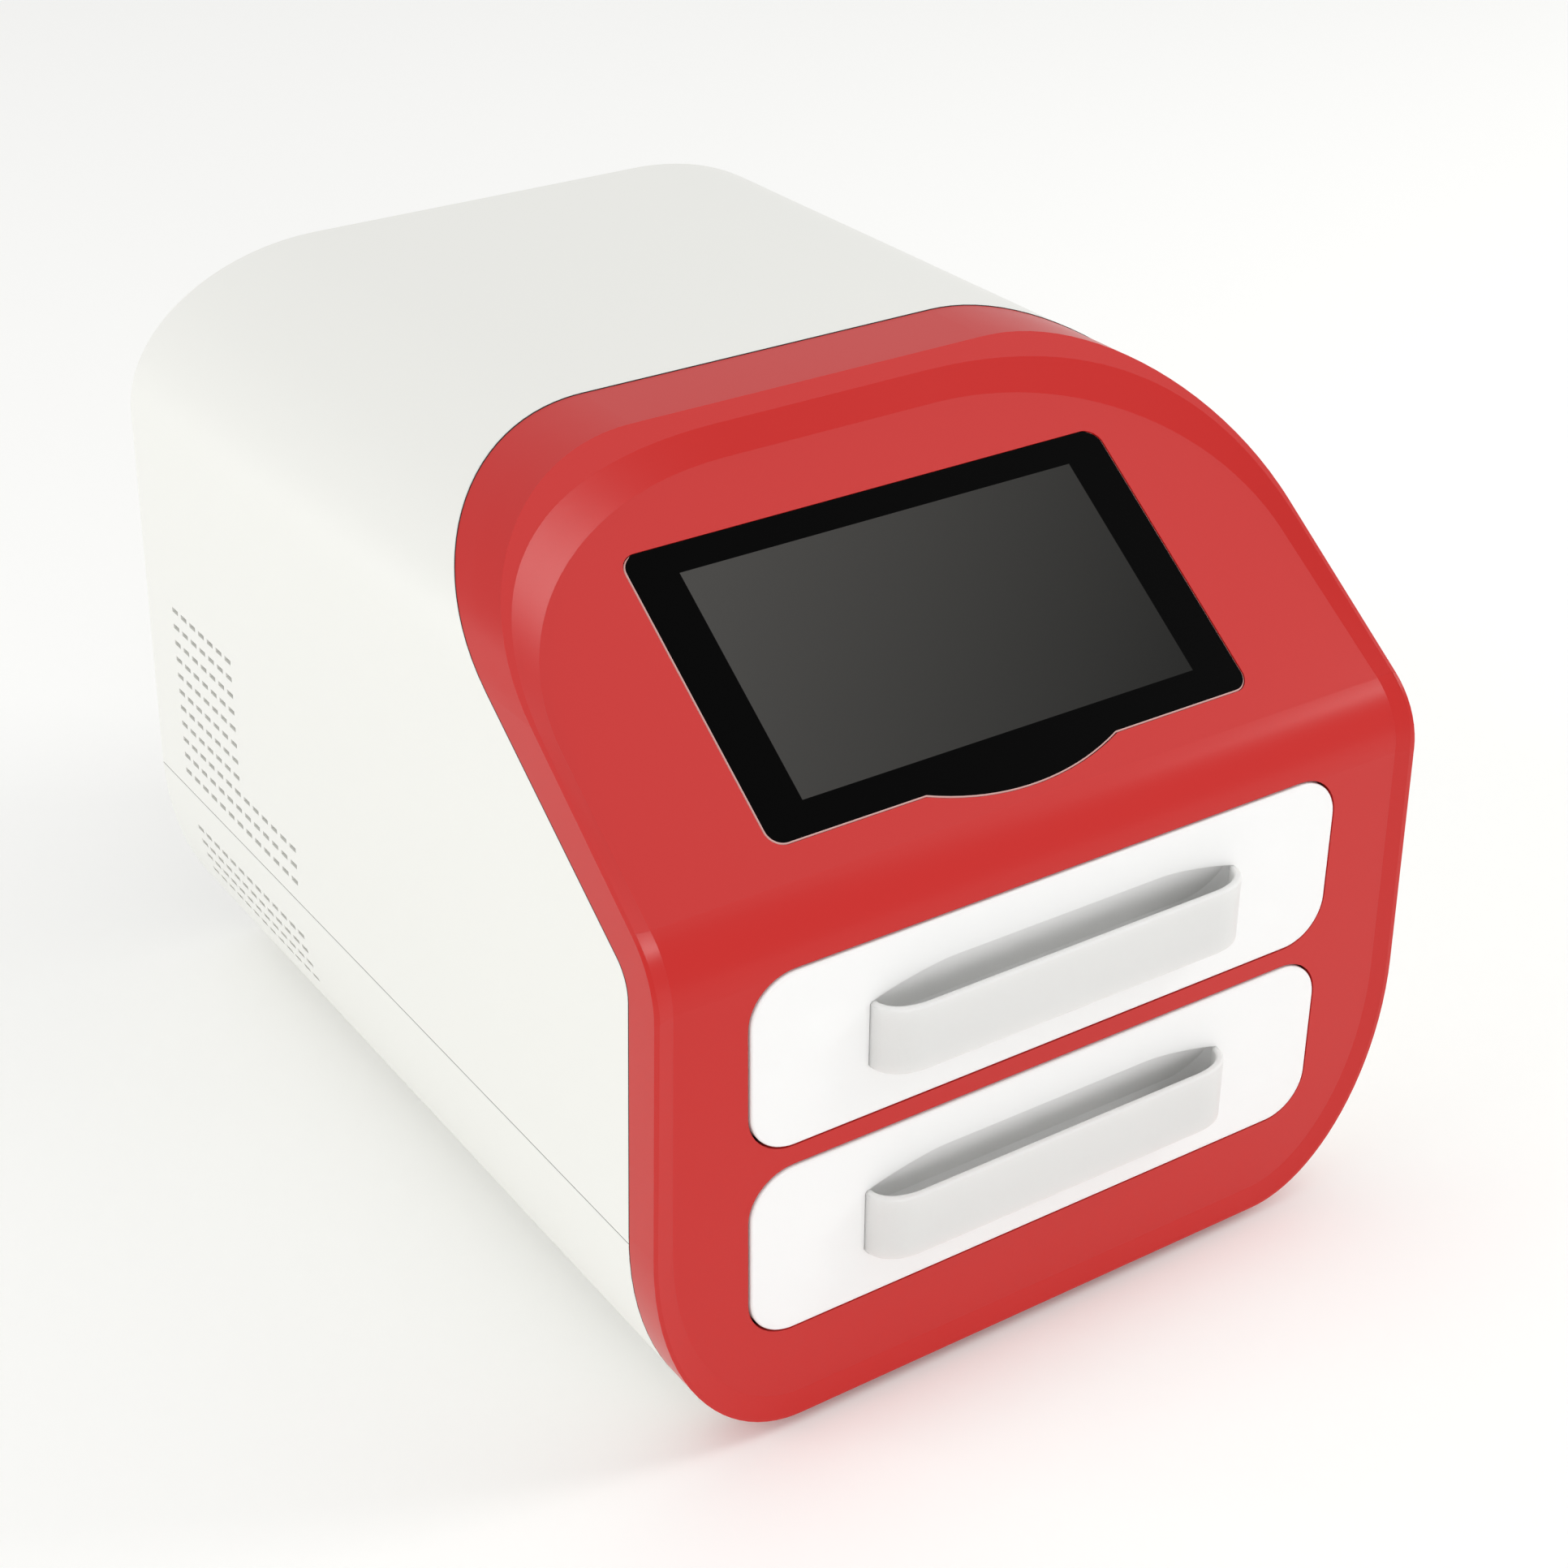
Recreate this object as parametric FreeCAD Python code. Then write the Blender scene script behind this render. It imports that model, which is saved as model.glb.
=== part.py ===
import FreeCAD, Part
import math
import os

# Semi-dry blotter with two cassette drawers and a sloping touch display.
# Lengths are millimetres. While it is built, y = 0 is the plane of the drawer
# faces, with the rear towards +Y, x = 0 is the middle and z = 0 is the bench.

V = FreeCAD.Vector

# Housing
FOOT_H = 5.0
FOOT_R = 12.0
FOOT_INSET = 22.0
FOOT_TAPER = 1.5
FOOT_STUB_R = 3.0
FOOT_STUB_H = 5.0
BODY_DEPTH = 371.0
BODY_HALF_W = 154.2
SIDE_LEAN = 0.022
BODY_TOP = 299.0
TOP_FALL = 0.0195
LOW_CORNER = (57.0, 87.0, 0.55)
TOP_CORNER = (78.0, 54.0, 0.55)
WALL = 3.0
SEAM_Z = 89.3
SEAM_GAP = 0.3
LIP_T = 1.4
LIP_H = 4.0

# Front bezel: a vertical face, a bend and a sloping face
SLOPE_DEG = 34.6
SLOPE_Y = 32.1
SLOPE_Z = 214.3
FACE_Y = 0.65
FACE_BEND_R = 28.0
FACE_T = 3.0
RIM_Y = -0.8
RIM_LIFT = 2.15
RIM_LEAN_DEG = 1.34
RIM_BEND_R = 29.5
RING_DEPTH = 13.0
RING_GAP = 0.2

# Recess of the bezel, as half widths on the face and on the rim
RECESS_BOTTOM = 13.6
RECESS_WALL_W = 7.8
FACE_HALF_LOW = BODY_HALF_W - 8.3
FACE_HALF_BEND = BODY_HALF_W - 11.2
FACE_HALF_SLOPE = BODY_HALF_W - 13.7
FACE_TOP = 119.4
FACE_TOP_CORNER = (99.1, 81.1, 0.57)
RIM_HALF_LOW = BODY_HALF_W - 1.4
RIM_HALF_BEND = BODY_HALF_W - 5.7
RIM_HALF_SLOPE = BODY_HALF_W - 7.9
RIM_TOP = 129.3
RIM_TOP_CORNER = (104.9, 89.6, 0.66)
RECESS_LOW_CORNER = (50.0, 78.0, 0.55)
RECESS_WIDEN = 6.0
TOOL_REACH = 14.0

# Display
SCREEN_W = 154.2
SCREEN_L = 84.2
GLASS_SIDE = 17.3
GLASS_LOW = 11.8
GLASS_HIGH = 10.4
GLASS_R = 6.0
GLASS_T = 3.0
GLASS_GAP = 0.25
CHIN_HALF = 37.5
CHIN_DROP = 7.6
LEDGE_T = 3.0
LEDGE_W = 5.0
LCD_T = 5.0
LCD_MARGIN = 2.5
PANEL_BOARD_T = 1.6
PANEL_BOARD_DROP = 14.4
PANEL_BOARD_SIDE = 12.0
SPACER_R = 3.0
SPACER_INSET = 5.0
WINDOW_MARGIN = 3.0

# Drawers
DRAWER_SIDE = 37.8
DRAWER_W = 2 * (BODY_HALF_W - DRAWER_SIDE)
DRAWER_H = 64.0
DRAWER_R = 16.0
DRAWER_T = 11.0
DRAWER_GAP = 0.8
LOWER_Z = 42.0
STRIP_H = 8.6
FRONT_SKIN = 3.0
PULL_HALF = 73.3
PULL_FLAT_HALF = 58.0
PULL_REACH = 11.0
PULL_Z = 18.5
PULL_H = 24.3
PULL_T = 2.5
SCOOP_TOP = 48.6
SCOOP_TURN = 30.0
SCOOP_FLAT_HALF = 42.0
SCOOP_FULL = 0.42
SCOOP_DEPTH = 7.5
TRAY_SIDE = 13.4
TRAY_HALF = DRAWER_W / 2 - TRAY_SIDE
TRAY_LEN = 228.0
TRAY_Z = 8.0
TRAY_H = 44.0
TRAY_WALL = 3.0
TRAY_FLOOR = 4.0
TRAY_R = 6.0
RUNNER_W = 6.0
RUNNER_H = 6.0
RUNNER_Z = 24.0
RUNNER_SET = 20.0
PLATE_T = 2.0
PLATE_MARGIN = 5.0
PLATE_SPACE = 14.0
LID_T = 6.0
LID_RIB_H = 3.0
BUSH_R = 7.0
BUSH_WAIST = 1.5
BUSH_SIDE = 25.0
BUSH_END = 40.0
LID_RIB_T = 2.4
LID_RIBS_LONG = 5
LID_RIBS_CROSS = 4
LID_RIB_SIDE = 12.0
LID_RIB_END = 8.0
PLATE_R = 3.0
TRAY_SCREW_X = 92.0
TRAY_SCREW_HS = (10.0, 34.0)
TRAY_SCREW_BITE = 4.0
TRAY_BOSS_R = 4.0
BLADE_X = 60.0

# Bay and chassis, in sheet steel
SHEET = 2.0
CHASSIS_Z = 18.0
CHASSIS_MARGIN = 2.6
CHASSIS_FRONT = 20.0
CHASSIS_REAR_GAP = 8.0
BOSS_YS = (70.0, 190.0)
BOSS_REAR = 46.0
BOSS_R = 6.0
BAY_FRONT = DRAWER_T + 1.0
BAY_REAR_GAP = 24.0
BAY_CLEAR = 0.4
RAIL_LIP = 5.2
RAIL_RUN = 0.35
RAIL_T = 2.0
RAIL_SET = 12.0
RAIL_REAR = 8.0
BAY_FLANGE = 16.0
TOP_SHELF_CLEAR = 5.4
BLADE_L = 12.0
BLADE_HALF_W = 4.0
BLADE_T = 1.5
BLADE_FOOT = (14.0, 2.0, 12.0)
SOCKET_L = 16.0
SOCKET_WALL = 3.0
SOCKET_SIDE_GAP = 0.5
SOCKET_GAP = 0.4

# Rear panel and what it carries
PANEL_INSET = 7.0
PANEL_Y = BODY_DEPTH - PANEL_INSET
PANEL_T = 2.0
PANEL_GAP = 0.4
FLANGE_W = 6.0
FAN_X = BODY_HALF_W - 94.2
FAN_Z = BODY_TOP - 74.0
FAN_SIZE = 80.0
FAN_T = 25.0
FAN_HOLE_R = 38.0
FAN_SCREW = 35.75
HUB_R = 16.0
BLADES = 7
INLET_X = 54.2 - BODY_HALF_W
INLET_Z = 74.0
SWITCH_X = INLET_X + 45.0
ROCKER_W = 13.0
ROCKER_H = 20.0
ROCKER_TILT = 7.0
ROCKER_GAP = 1.1
FUSE_X = SWITCH_X + 33.0
USB_X = FUSE_X + 42.0

# Boards and supply on the top shelf
BOARD = (190.0, 100.0, 1.6)
BOARD_Y = 60.0
BOARD_LIFT = 6.0
BOARD_SCREW_INSET = 6.0
SUPPLY = (180.0, 82.0, 45.0)
SUPPLY_Y = 172.0
SINK = (60.0, 40.0, 26.0)
SINK_INSET = (12.0, 8.0)
SINK_BASE = 4.0
FINS = 8
FIN_T = 1.6
CAN_R = 7.0
CAN_H = 22.0
CAN_PITCH = 18.0
CAN_INSET = 20.0
CANS = 4

# Cooling slots in the left side: length, height and rows
SLOT_L = 5.2
SLOT_H = 1.9
SLOT_PITCH = 7.9
SLOT_ROW = 6.9
SLOT_REAR_Y = PANEL_Y - 19.5
SLOT_LOW_Z = 97.3
SLOT_ROWS = 11
SLOT_LONG_ROWS = 3
SLOT_COLUMNS = 13
SLOT_SHORT_COLUMNS = 7
UNDER_SLOT_ZS = (73.4, 66.7, 60.0, 53.0)
UNDER_SLOT_PITCH = 7.5
UNDER_SLOT_REAR_Y = PANEL_Y - 23.7

SCREW_R = 3.0
SCREW_HEAD_H = 2.0
SCREW_SHANK_R = 1.5
SCREW_CLEAR = 0.2

# Worked out from the sizes above
SLOPE = math.radians(SLOPE_DEG)
UPPER_Z = LOWER_Z + DRAWER_H + STRIP_H
DRAWERS = (("lower", LOWER_Z), ("upper", UPPER_Z))
TRAY_Y = DRAWER_T
TRAY_REAR = TRAY_Y + TRAY_LEN
BAY_HALF = TRAY_HALF + RUNNER_W + BAY_CLEAR + RAIL_T
BAY_REAR = TRAY_REAR + BAY_REAR_GAP
CHASSIS_HALF = BAY_HALF + SHEET + CHASSIS_MARGIN
CHASSIS_REAR = PANEL_Y - CHASSIS_REAR_GAP
MID_SHELF_Z = LOWER_Z + DRAWER_H + STRIP_H / 2 - SHEET / 2
TOP_SHELF_Z = UPPER_Z + DRAWER_H + TOP_SHELF_CLEAR
GLASS_HALF = SCREEN_W / 2 + GLASS_SIDE
GUARD_OUT = 3.0
CENTRE_Y = (BODY_DEPTH - PULL_REACH) / 2
FAR = 700.0


def box(x0, x1, y0, y1, z0, z1):
    """Plain block between two opposite corners."""
    return Part.makeBox(x1 - x0, y1 - y0, z1 - z0, V(x0, y0, z0))


def cylinder_y(x, y0, y1, z, radius):
    """Round bar along the depth."""
    return Part.makeCylinder(radius, y1 - y0, V(x, y0, z), V(0, 1, 0))


def cylinder_z(x, y, z0, z1, radius):
    """Upright round bar."""
    return Part.makeCylinder(radius, z1 - z0, V(x, y, z0), V(0, 0, 1))


def prism(points, shift):
    """Straight-sided solid from a flat outline."""
    return Part.Face(Part.makePolygon(points + points[:1])).extrude(shift)


def rounded_plate(x0, x1, z0, z1, radius, y0, y1):
    """Upright plate with four rounded corners, thick along the depth."""
    solid = box(x0, x1, y0, y1, z0, z1)
    corners = [e for e in solid.Edges if abs(e.tangentAt(e.FirstParameter).y) > 0.99]
    return solid.makeFillet(radius, corners)


def rounded_tub(x0, x1, y0, y1, z0, z1, radius):
    """Block whose four upright edges are rounded."""
    solid = box(x0, x1, y0, y1, z0, z1)
    corners = [e for e in solid.Edges if abs(e.tangentAt(e.FirstParameter).z) > 0.99]
    return solid.makeFillet(radius, corners)


def corner(start, sharp, end, fullness):
    """Smooth corner between two straight stretches that would meet at sharp."""
    curve = Part.BezierCurve()
    curve.setPoles([start, start + (sharp - start) * fullness, end + (sharp - end) * fullness, end])
    return curve.toShape()


def line(a, b):
    """Straight edge."""
    return Part.LineSegment(a, b).toShape()


def loop(low, high, half_at, lower, upper, where):
    """Closed outline, alike left and right, that narrows upwards.

    lower and upper are how far each corner is cut across and along, and how
    full it is, or None for a sharp corner. where sets the outline in space.
    """
    def both(x, v):
        return where(x, v), where(-x, v)

    sharp_low = both(half_at(low), low)
    sharp_high = both(half_at(high), high)
    a = b = sharp_low
    c = d = sharp_high
    if lower:
        a = both(half_at(low) - lower[0], low)
        b = both(half_at(low + lower[1]), low + lower[1])
    if upper:
        c = both(half_at(high - upper[1]), high - upper[1])
        d = both(half_at(high) - upper[0], high)
    edges = [line(a[1], a[0])]
    if lower:
        edges.append(corner(a[0], sharp_low[0], b[0], lower[2]))
    edges.append(line(b[0], c[0]))
    if upper:
        edges.append(corner(c[0], sharp_high[0], d[0], upper[2]))
    edges.append(line(d[0], d[1]))
    if upper:
        edges.append(corner(d[1], sharp_high[1], c[1], upper[2]))
    edges.append(line(c[1], b[1]))
    if lower:
        edges.append(corner(b[1], sharp_low[1], a[1], lower[2]))
    return Part.Wire(edges)


def body_section(y, inset):
    """Cross-section of the housing, or of its inside where inset is set."""
    low = FOOT_H + inset
    high = BODY_TOP - TOP_FALL * y - inset
    lower = (LOW_CORNER[0] - inset, LOW_CORNER[1] - inset, LOW_CORNER[2])
    upper = (TOP_CORNER[0] - inset, TOP_CORNER[1] - inset, TOP_CORNER[2])

    def half_at(z):
        return BODY_HALF_W - SIDE_LEAN * (z - FOOT_H) - inset

    return loop(low, high, half_at, lower, upper, lambda x, z: V(x, y, z))


def body(y0, y1, inset=0.0):
    """The housing's form from y0 to y1 as one solid."""
    return Part.makeLoft([body_section(y0, inset), body_section(y1, inset)], True, True)


def bend(front, lift, lean_deg, radius):
    """Where a front profile turns: its start, middle and end, as (y, z)."""
    angle = math.radians(SLOPE_DEG + lean_deg)
    y0 = SLOPE_Y - math.sin(SLOPE) * lift
    z0 = SLOPE_Z + math.cos(SLOPE) * lift
    z_bend = z0 + (front - y0) * math.tan(angle)
    turn = (math.pi / 2 - angle) / 2
    reach = radius * math.tan(turn)
    start = (front, z_bend - reach)
    end = (front + reach * math.cos(angle), z_bend + reach * math.sin(angle))
    middle_y = front + radius - radius * math.cos(turn)
    middle_z = z_bend - reach + radius * math.sin(turn)
    return start, (middle_y, middle_z), end, angle


def behind(front, lift, lean_deg, radius):
    """Everything behind a front profile: upright, a bend, then the slope."""
    start, middle, end, angle = bend(front, lift, lean_deg, radius)
    x = -FAR / 2
    far_y = end[0] + FAR * math.cos(angle)
    far_z = end[1] + FAR * math.sin(angle)
    p0 = V(x, front, -FAR)
    p1 = V(x, start[0], start[1])
    p2 = V(x, end[0], end[1])
    p3 = V(x, far_y, far_z)
    p4 = V(x, 2 * FAR, far_z)
    p5 = V(x, 2 * FAR, -FAR)
    arc = Part.Arc(p1, V(x, middle[0], middle[1]), p2).toShape()
    wire = Part.Wire([line(p0, p1), arc, line(p2, p3), line(p3, p4), line(p4, p5), line(p5, p0)])
    return Part.Face(wire).extrude(V(FAR, 0, 0))


def behind_face(depth):
    """Everything deeper than depth behind the sunken face of the bezel."""
    return behind(FACE_Y + depth, -depth, 0.0, FACE_BEND_R - depth)


def on_slope(solid):
    """Sets a solid built flat, with z = 0 as the glass, onto the slope."""
    placed = solid.copy()
    placed.Placement = FreeCAD.Placement(
        V(0, SLOPE_Y, SLOPE_Z), FreeCAD.Rotation(V(1, 0, 0), SLOPE_DEG)
    ).multiply(solid.Placement)
    return placed


def face_start():
    """Distance up the slope, from the screen's lower edge, where the bend ends."""
    end = bend(FACE_Y, 0.0, 0.0, FACE_BEND_R)[2]
    return (end[0] - SLOPE_Y) / math.cos(SLOPE)


def tapered(low_half, low, high_half, high):
    """Half width that changes evenly from low to high."""
    return lambda v: low_half + (high_half - low_half) * (v - low) / (high - low)


def recess_front():
    """Tool for the shallow recess round the drawers."""
    top = bend(FACE_Y, 0.0, 0.0, FACE_BEND_R)[0][1]
    inner = tapered(FACE_HALF_LOW, RECESS_BOTTOM, FACE_HALF_BEND, top)
    outer = tapered(RIM_HALF_LOW, FOOT_H, RIM_HALF_BEND, top)
    low = RECESS_BOTTOM - RECESS_WALL_W
    deep = loop(RECESS_BOTTOM, top, inner, RECESS_LOW_CORNER, None, lambda x, z: V(x, FACE_Y, z))
    across, along, full = RECESS_LOW_CORNER
    wide = (across + RECESS_WIDEN, along + RECESS_WALL_W, full)
    rim = loop(low, top, outer, wide, None, lambda x, z: V(x, RIM_Y, z))
    wall = Part.makeLoft([deep, rim], True, True)
    return wall.fuse(Part.Face(rim).extrude(V(0, -TOOL_REACH, 0)))


def recess_bend():
    """Tool for the recess where the face turns."""
    axis_y = FACE_Y + FACE_BEND_R
    deep = FACE_Y
    rim = axis_y - RIM_BEND_R
    out = deep - TOOL_REACH
    z = bend(FACE_Y, 0.0, 0.0, FACE_BEND_R)[0][1]
    points = [V(-FACE_HALF_BEND, deep, z), V(-RIM_HALF_BEND, rim, z), V(-RIM_HALF_BEND, out, z),
              V(RIM_HALF_BEND, out, z), V(RIM_HALF_BEND, rim, z), V(FACE_HALF_BEND, deep, z)]
    profile = Part.Face(Part.makePolygon(points + points[:1]))
    return profile.revolve(V(0, axis_y, z), V(-1, 0, 0), 90.0 - SLOPE_DEG)


def recess_slope():
    """Tool for the recess round the display, deepest along the top."""
    low = face_start()
    rise = math.tan(math.radians(RIM_LEAN_DEG))
    inner = tapered(FACE_HALF_BEND, low, FACE_HALF_SLOPE, FACE_TOP)
    outer = tapered(RIM_HALF_BEND, low, RIM_HALF_SLOPE, RIM_TOP)
    deep = loop(low, FACE_TOP, inner, None, FACE_TOP_CORNER, lambda x, a: V(x, a, 0))
    rim = loop(low, RIM_TOP, outer, None, RIM_TOP_CORNER, lambda x, a: V(x, a, RIM_LIFT + rise * a))
    wall = Part.makeLoft([deep, rim], True, True)
    return on_slope(wall.fuse(Part.Face(rim).extrude(V(0, 0, TOOL_REACH))))


def glass_outline(grow, depth0, depth1):
    """The glass seen flat: a rounded rectangle with a bowed lower edge."""
    half = GLASS_HALF + grow
    low = -GLASS_LOW - grow
    high = SCREEN_L + GLASS_HIGH + grow
    chin = CHIN_HALF + grow
    plate = rounded_tub(-half, half, low, high, depth0, depth1, GLASS_R + grow)
    arc = Part.Arc(V(-chin, low, depth0), V(0, low - CHIN_DROP, depth0), V(chin, low, depth0))
    cap = Part.Face(Part.Wire([arc.toShape(), line(V(chin, low, depth0), V(-chin, low, depth0))]))
    return plate.fuse(cap.extrude(V(0, 0, depth1 - depth0))).removeSplitter()


def front_bezel():
    """Moulded front: ring, recess, sunken face, drawer openings and glass seat."""
    ring = body(-12.0, BODY_DEPTH).common(behind(RIM_Y, RIM_LIFT, RIM_LEAN_DEG, RIM_BEND_R))
    ring = ring.cut(behind(FACE_Y + RING_DEPTH, -RING_DEPTH, 0.0, FACE_BEND_R - RING_DEPTH))
    for tool in (recess_front(), recess_bend(), recess_slope()):
        ring = ring.cut(tool)
    ring = ring.cut(body(-12.0, BODY_DEPTH, WALL).common(behind_face(FACE_T)))
    seat = GLASS_T + GLASS_GAP
    ledge_back = -seat - LEDGE_T
    ring = ring.fuse(on_slope(glass_outline(LEDGE_W, ledge_back, -FACE_T / 2)))
    ring = ring.cut(on_slope(glass_outline(GLASS_GAP, -seat, 8.0)))
    margin = WINDOW_MARGIN
    half = SCREEN_W / 2 + margin
    window = box(-half, half, -margin, SCREEN_L + margin, ledge_back - 1.0, 0)
    ring = ring.cut(on_slope(window))
    gap = DRAWER_GAP
    half = DRAWER_W / 2 + gap
    for z in (LOWER_Z, UPPER_Z):
        opening = rounded_plate(-half, half, z - gap, z + DRAWER_H + gap, DRAWER_R + gap, -6.0, 30.0)
        ring = ring.cut(opening)
    return ring


def rear_flange(y1):
    """Inner rim that the rear panel is screwed to."""
    flange = body(y1 - WALL, y1, WALL / 2)
    return flange.cut(body(y1 - 2 * WALL, y1 + WALL, WALL + FLANGE_W))


def shell():
    """The white housing behind the ring, before it is split at the seam."""
    gap = RING_DEPTH + RING_GAP
    skin = body(-12.0, BODY_DEPTH).cut(body(-24.0, BODY_DEPTH + 12.0, WALL))
    skin = skin.fuse(rear_flange(PANEL_Y))
    for x, z in panel_screw_places():
        skin = skin.cut(cylinder_y(x, PANEL_Y - 2 * WALL, PANEL_Y + 1, z, SCREW_SHANK_R + SCREW_CLEAR))
    return skin.common(behind(FACE_Y + gap, -gap, 0.0, FACE_BEND_R - gap))


def side_slots():
    """Cutters for the cooling slots above the seam, an L of short slots."""
    cutters = []
    for row in range(SLOT_ROWS):
        columns = SLOT_COLUMNS if row < SLOT_LONG_ROWS else SLOT_SHORT_COLUMNS
        z = SLOT_LOW_Z + row * SLOT_ROW
        for column in range(columns):
            y = SLOT_REAR_Y - column * SLOT_PITCH
            cutters.append(box(-BODY_HALF_W - 2, -BODY_HALF_W + 12, y - SLOT_L / 2, y + SLOT_L / 2,
                               z - SLOT_H / 2, z + SLOT_H / 2))
    return Part.makeCompound(cutters)


def under_slots():
    """Cutters for the cooling slots below the seam, on the rounded corner."""
    cutters = []
    for z in UNDER_SLOT_ZS:
        for column in range(SLOT_COLUMNS):
            y = UNDER_SLOT_REAR_Y - column * UNDER_SLOT_PITCH
            cutters.append(box(-BODY_HALF_W - 2, -BODY_HALF_W + 16, y - SLOT_L / 2, y + SLOT_L / 2,
                               z - SLOT_H / 2, z + SLOT_H / 2))
    return Part.makeCompound(cutters)


def upper_cover(skin):
    """White upper cover, open at the front and the rear."""
    cover = skin.common(box(-FAR, FAR, -FAR, FAR, SEAM_Z + SEAM_GAP / 2, FAR))
    return cover.cut(side_slots())


def foot_places():
    """Centres of the four feet, by name."""
    x = BODY_HALF_W - LOW_CORNER[0] - FOOT_R
    front = RING_DEPTH + FOOT_INSET
    rear = BODY_DEPTH - FOOT_INSET - FOOT_R
    return {"foot_front_left": (-x, front), "foot_front_right": (x, front),
            "foot_rear_left": (-x, rear), "foot_rear_right": (x, rear)}


def boss_places():
    """Centres of the bosses that carry the chassis."""
    x = BODY_HALF_W - LOW_CORNER[0] - 2 * FOOT_R
    return [(s * x, y) for s in (-1, 1) for y in BOSS_YS + (CHASSIS_REAR - BOSS_REAR,)]


def lower_base(skin):
    """White lower shell with a lip inside the seam and bosses for the chassis."""
    base = skin.common(box(-FAR, FAR, -FAR, FAR, -FAR, SEAM_Z - SEAM_GAP / 2))
    front = FACE_Y + RING_DEPTH + WALL
    rear = PANEL_Y - 2 * WALL
    inner = WALL - LIP_T / 2
    lip = body(front, rear, inner).cut(body(front - 1, rear + 1, inner + LIP_T))
    lip = lip.common(box(-FAR, FAR, -FAR, FAR, SEAM_Z - LIP_H, SEAM_Z - SEAM_GAP / 2))
    tongue = body(front, rear, WALL + 0.1).cut(body(front - 1, rear + 1, WALL + 0.1 + LIP_T))
    tongue = tongue.common(box(-FAR, FAR, -FAR, FAR, SEAM_Z - LIP_H, SEAM_Z + LIP_H))
    base = base.fuse([lip, tongue])
    for x, y in boss_places():
        base = base.fuse(cylinder_z(x, y, FOOT_H + WALL / 2, CHASSIS_Z, BOSS_R))
    for x, y in foot_places().values():
        base = base.cut(cylinder_z(x, y, 0.0, FOOT_H + 2 * WALL, FOOT_STUB_R + SCREW_CLEAR))
    for x, y in boss_places():
        base = base.cut(cylinder_z(x, y, 0.0, CHASSIS_Z + 1, SCREW_SHANK_R + SCREW_CLEAR))
        base = base.cut(cylinder_z(x, y, 0.0, FOOT_H + SCREW_HEAD_H, SCREW_R + 0.3))
    return base.cut(under_slots())


def foot(x, y):
    """Rubber foot: a tapered pad with a stub that plugs into the base."""
    pad = Part.makeCone(FOOT_R - FOOT_TAPER, FOOT_R, FOOT_H, V(x, y, 0), V(0, 0, 1))
    return pad.fuse(cylinder_z(x, y, FOOT_H / 2, FOOT_H + FOOT_STUB_H, FOOT_STUB_R))


def screw(x, y, z, along, length):
    """Pan-head screw: the head starts at the given point, the shank follows."""
    head = Part.makeCylinder(SCREW_R, SCREW_HEAD_H, V(x, y, z), along)
    start = V(x, y, z) + along * SCREW_HEAD_H
    shank = Part.makeCylinder(SCREW_SHANK_R, length, start, along)
    drive = Part.makeCylinder(SCREW_SHANK_R * 0.8, SCREW_HEAD_H / 2, V(x, y, z), along)
    return head.cut(drive).fuse(shank)


def save(name, shape):
    """Moves a piece so that the origin lies under the middle, and writes it."""
    placed = shape.copy()
    placed.translate(V(0, -CENTRE_Y, 0))
    placed.exportStep("parts/" + name + ".step")
    print(name, len(placed.Solids), round(placed.Volume), placed.isValid())


def housing():
    """Covers, bezel, feet and the screws under the base."""
    skin = shell()
    save("front_bezel", front_bezel())
    save("upper_cover", upper_cover(skin))
    save("lower_base", lower_base(skin))
    for name, place in foot_places().items():
        save(name, foot(place[0], place[1]))
    length = CHASSIS_Z - FOOT_H - SCREW_HEAD_H + SHEET
    screws = [screw(x, y, FOOT_H, V(0, 0, 1), length) for x, y in boss_places()]
    save("base_screws", Part.makeCompound(screws))


def drawer_front(z):
    """White drawer face, hollow behind, with a finger scoop."""
    half = DRAWER_W / 2
    front = rounded_plate(-half, half, z, z + DRAWER_H, DRAWER_R, 0, DRAWER_T)
    edge = [e for e in front.Edges if abs(e.BoundBox.YMax) < 0.001]
    front = front.makeFillet(0.8, edge)
    skin = FRONT_SKIN
    pocket = rounded_plate(-half + skin, half - skin, z + skin, z + DRAWER_H - skin,
                           DRAWER_R - skin, skin, DRAWER_T + 1)
    well = box(-PULL_HALF - skin, PULL_HALF + skin, 0, DRAWER_T + 1, z + PULL_Z, z + SCOOP_TOP + skin)
    front = front.cut(pocket.cut(well)).cut(scoop(z))
    for x, h in drawer_screw_places(z):
        front = front.fuse(cylinder_y(x, skin / 2, DRAWER_T, h, TRAY_BOSS_R))
        pilot = cylinder_y(x, DRAWER_T - TRAY_SCREW_BITE - 1, DRAWER_T + 1, h, SCREW_SHANK_R + SCREW_CLEAR)
        front = front.cut(pilot)
    return front


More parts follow.
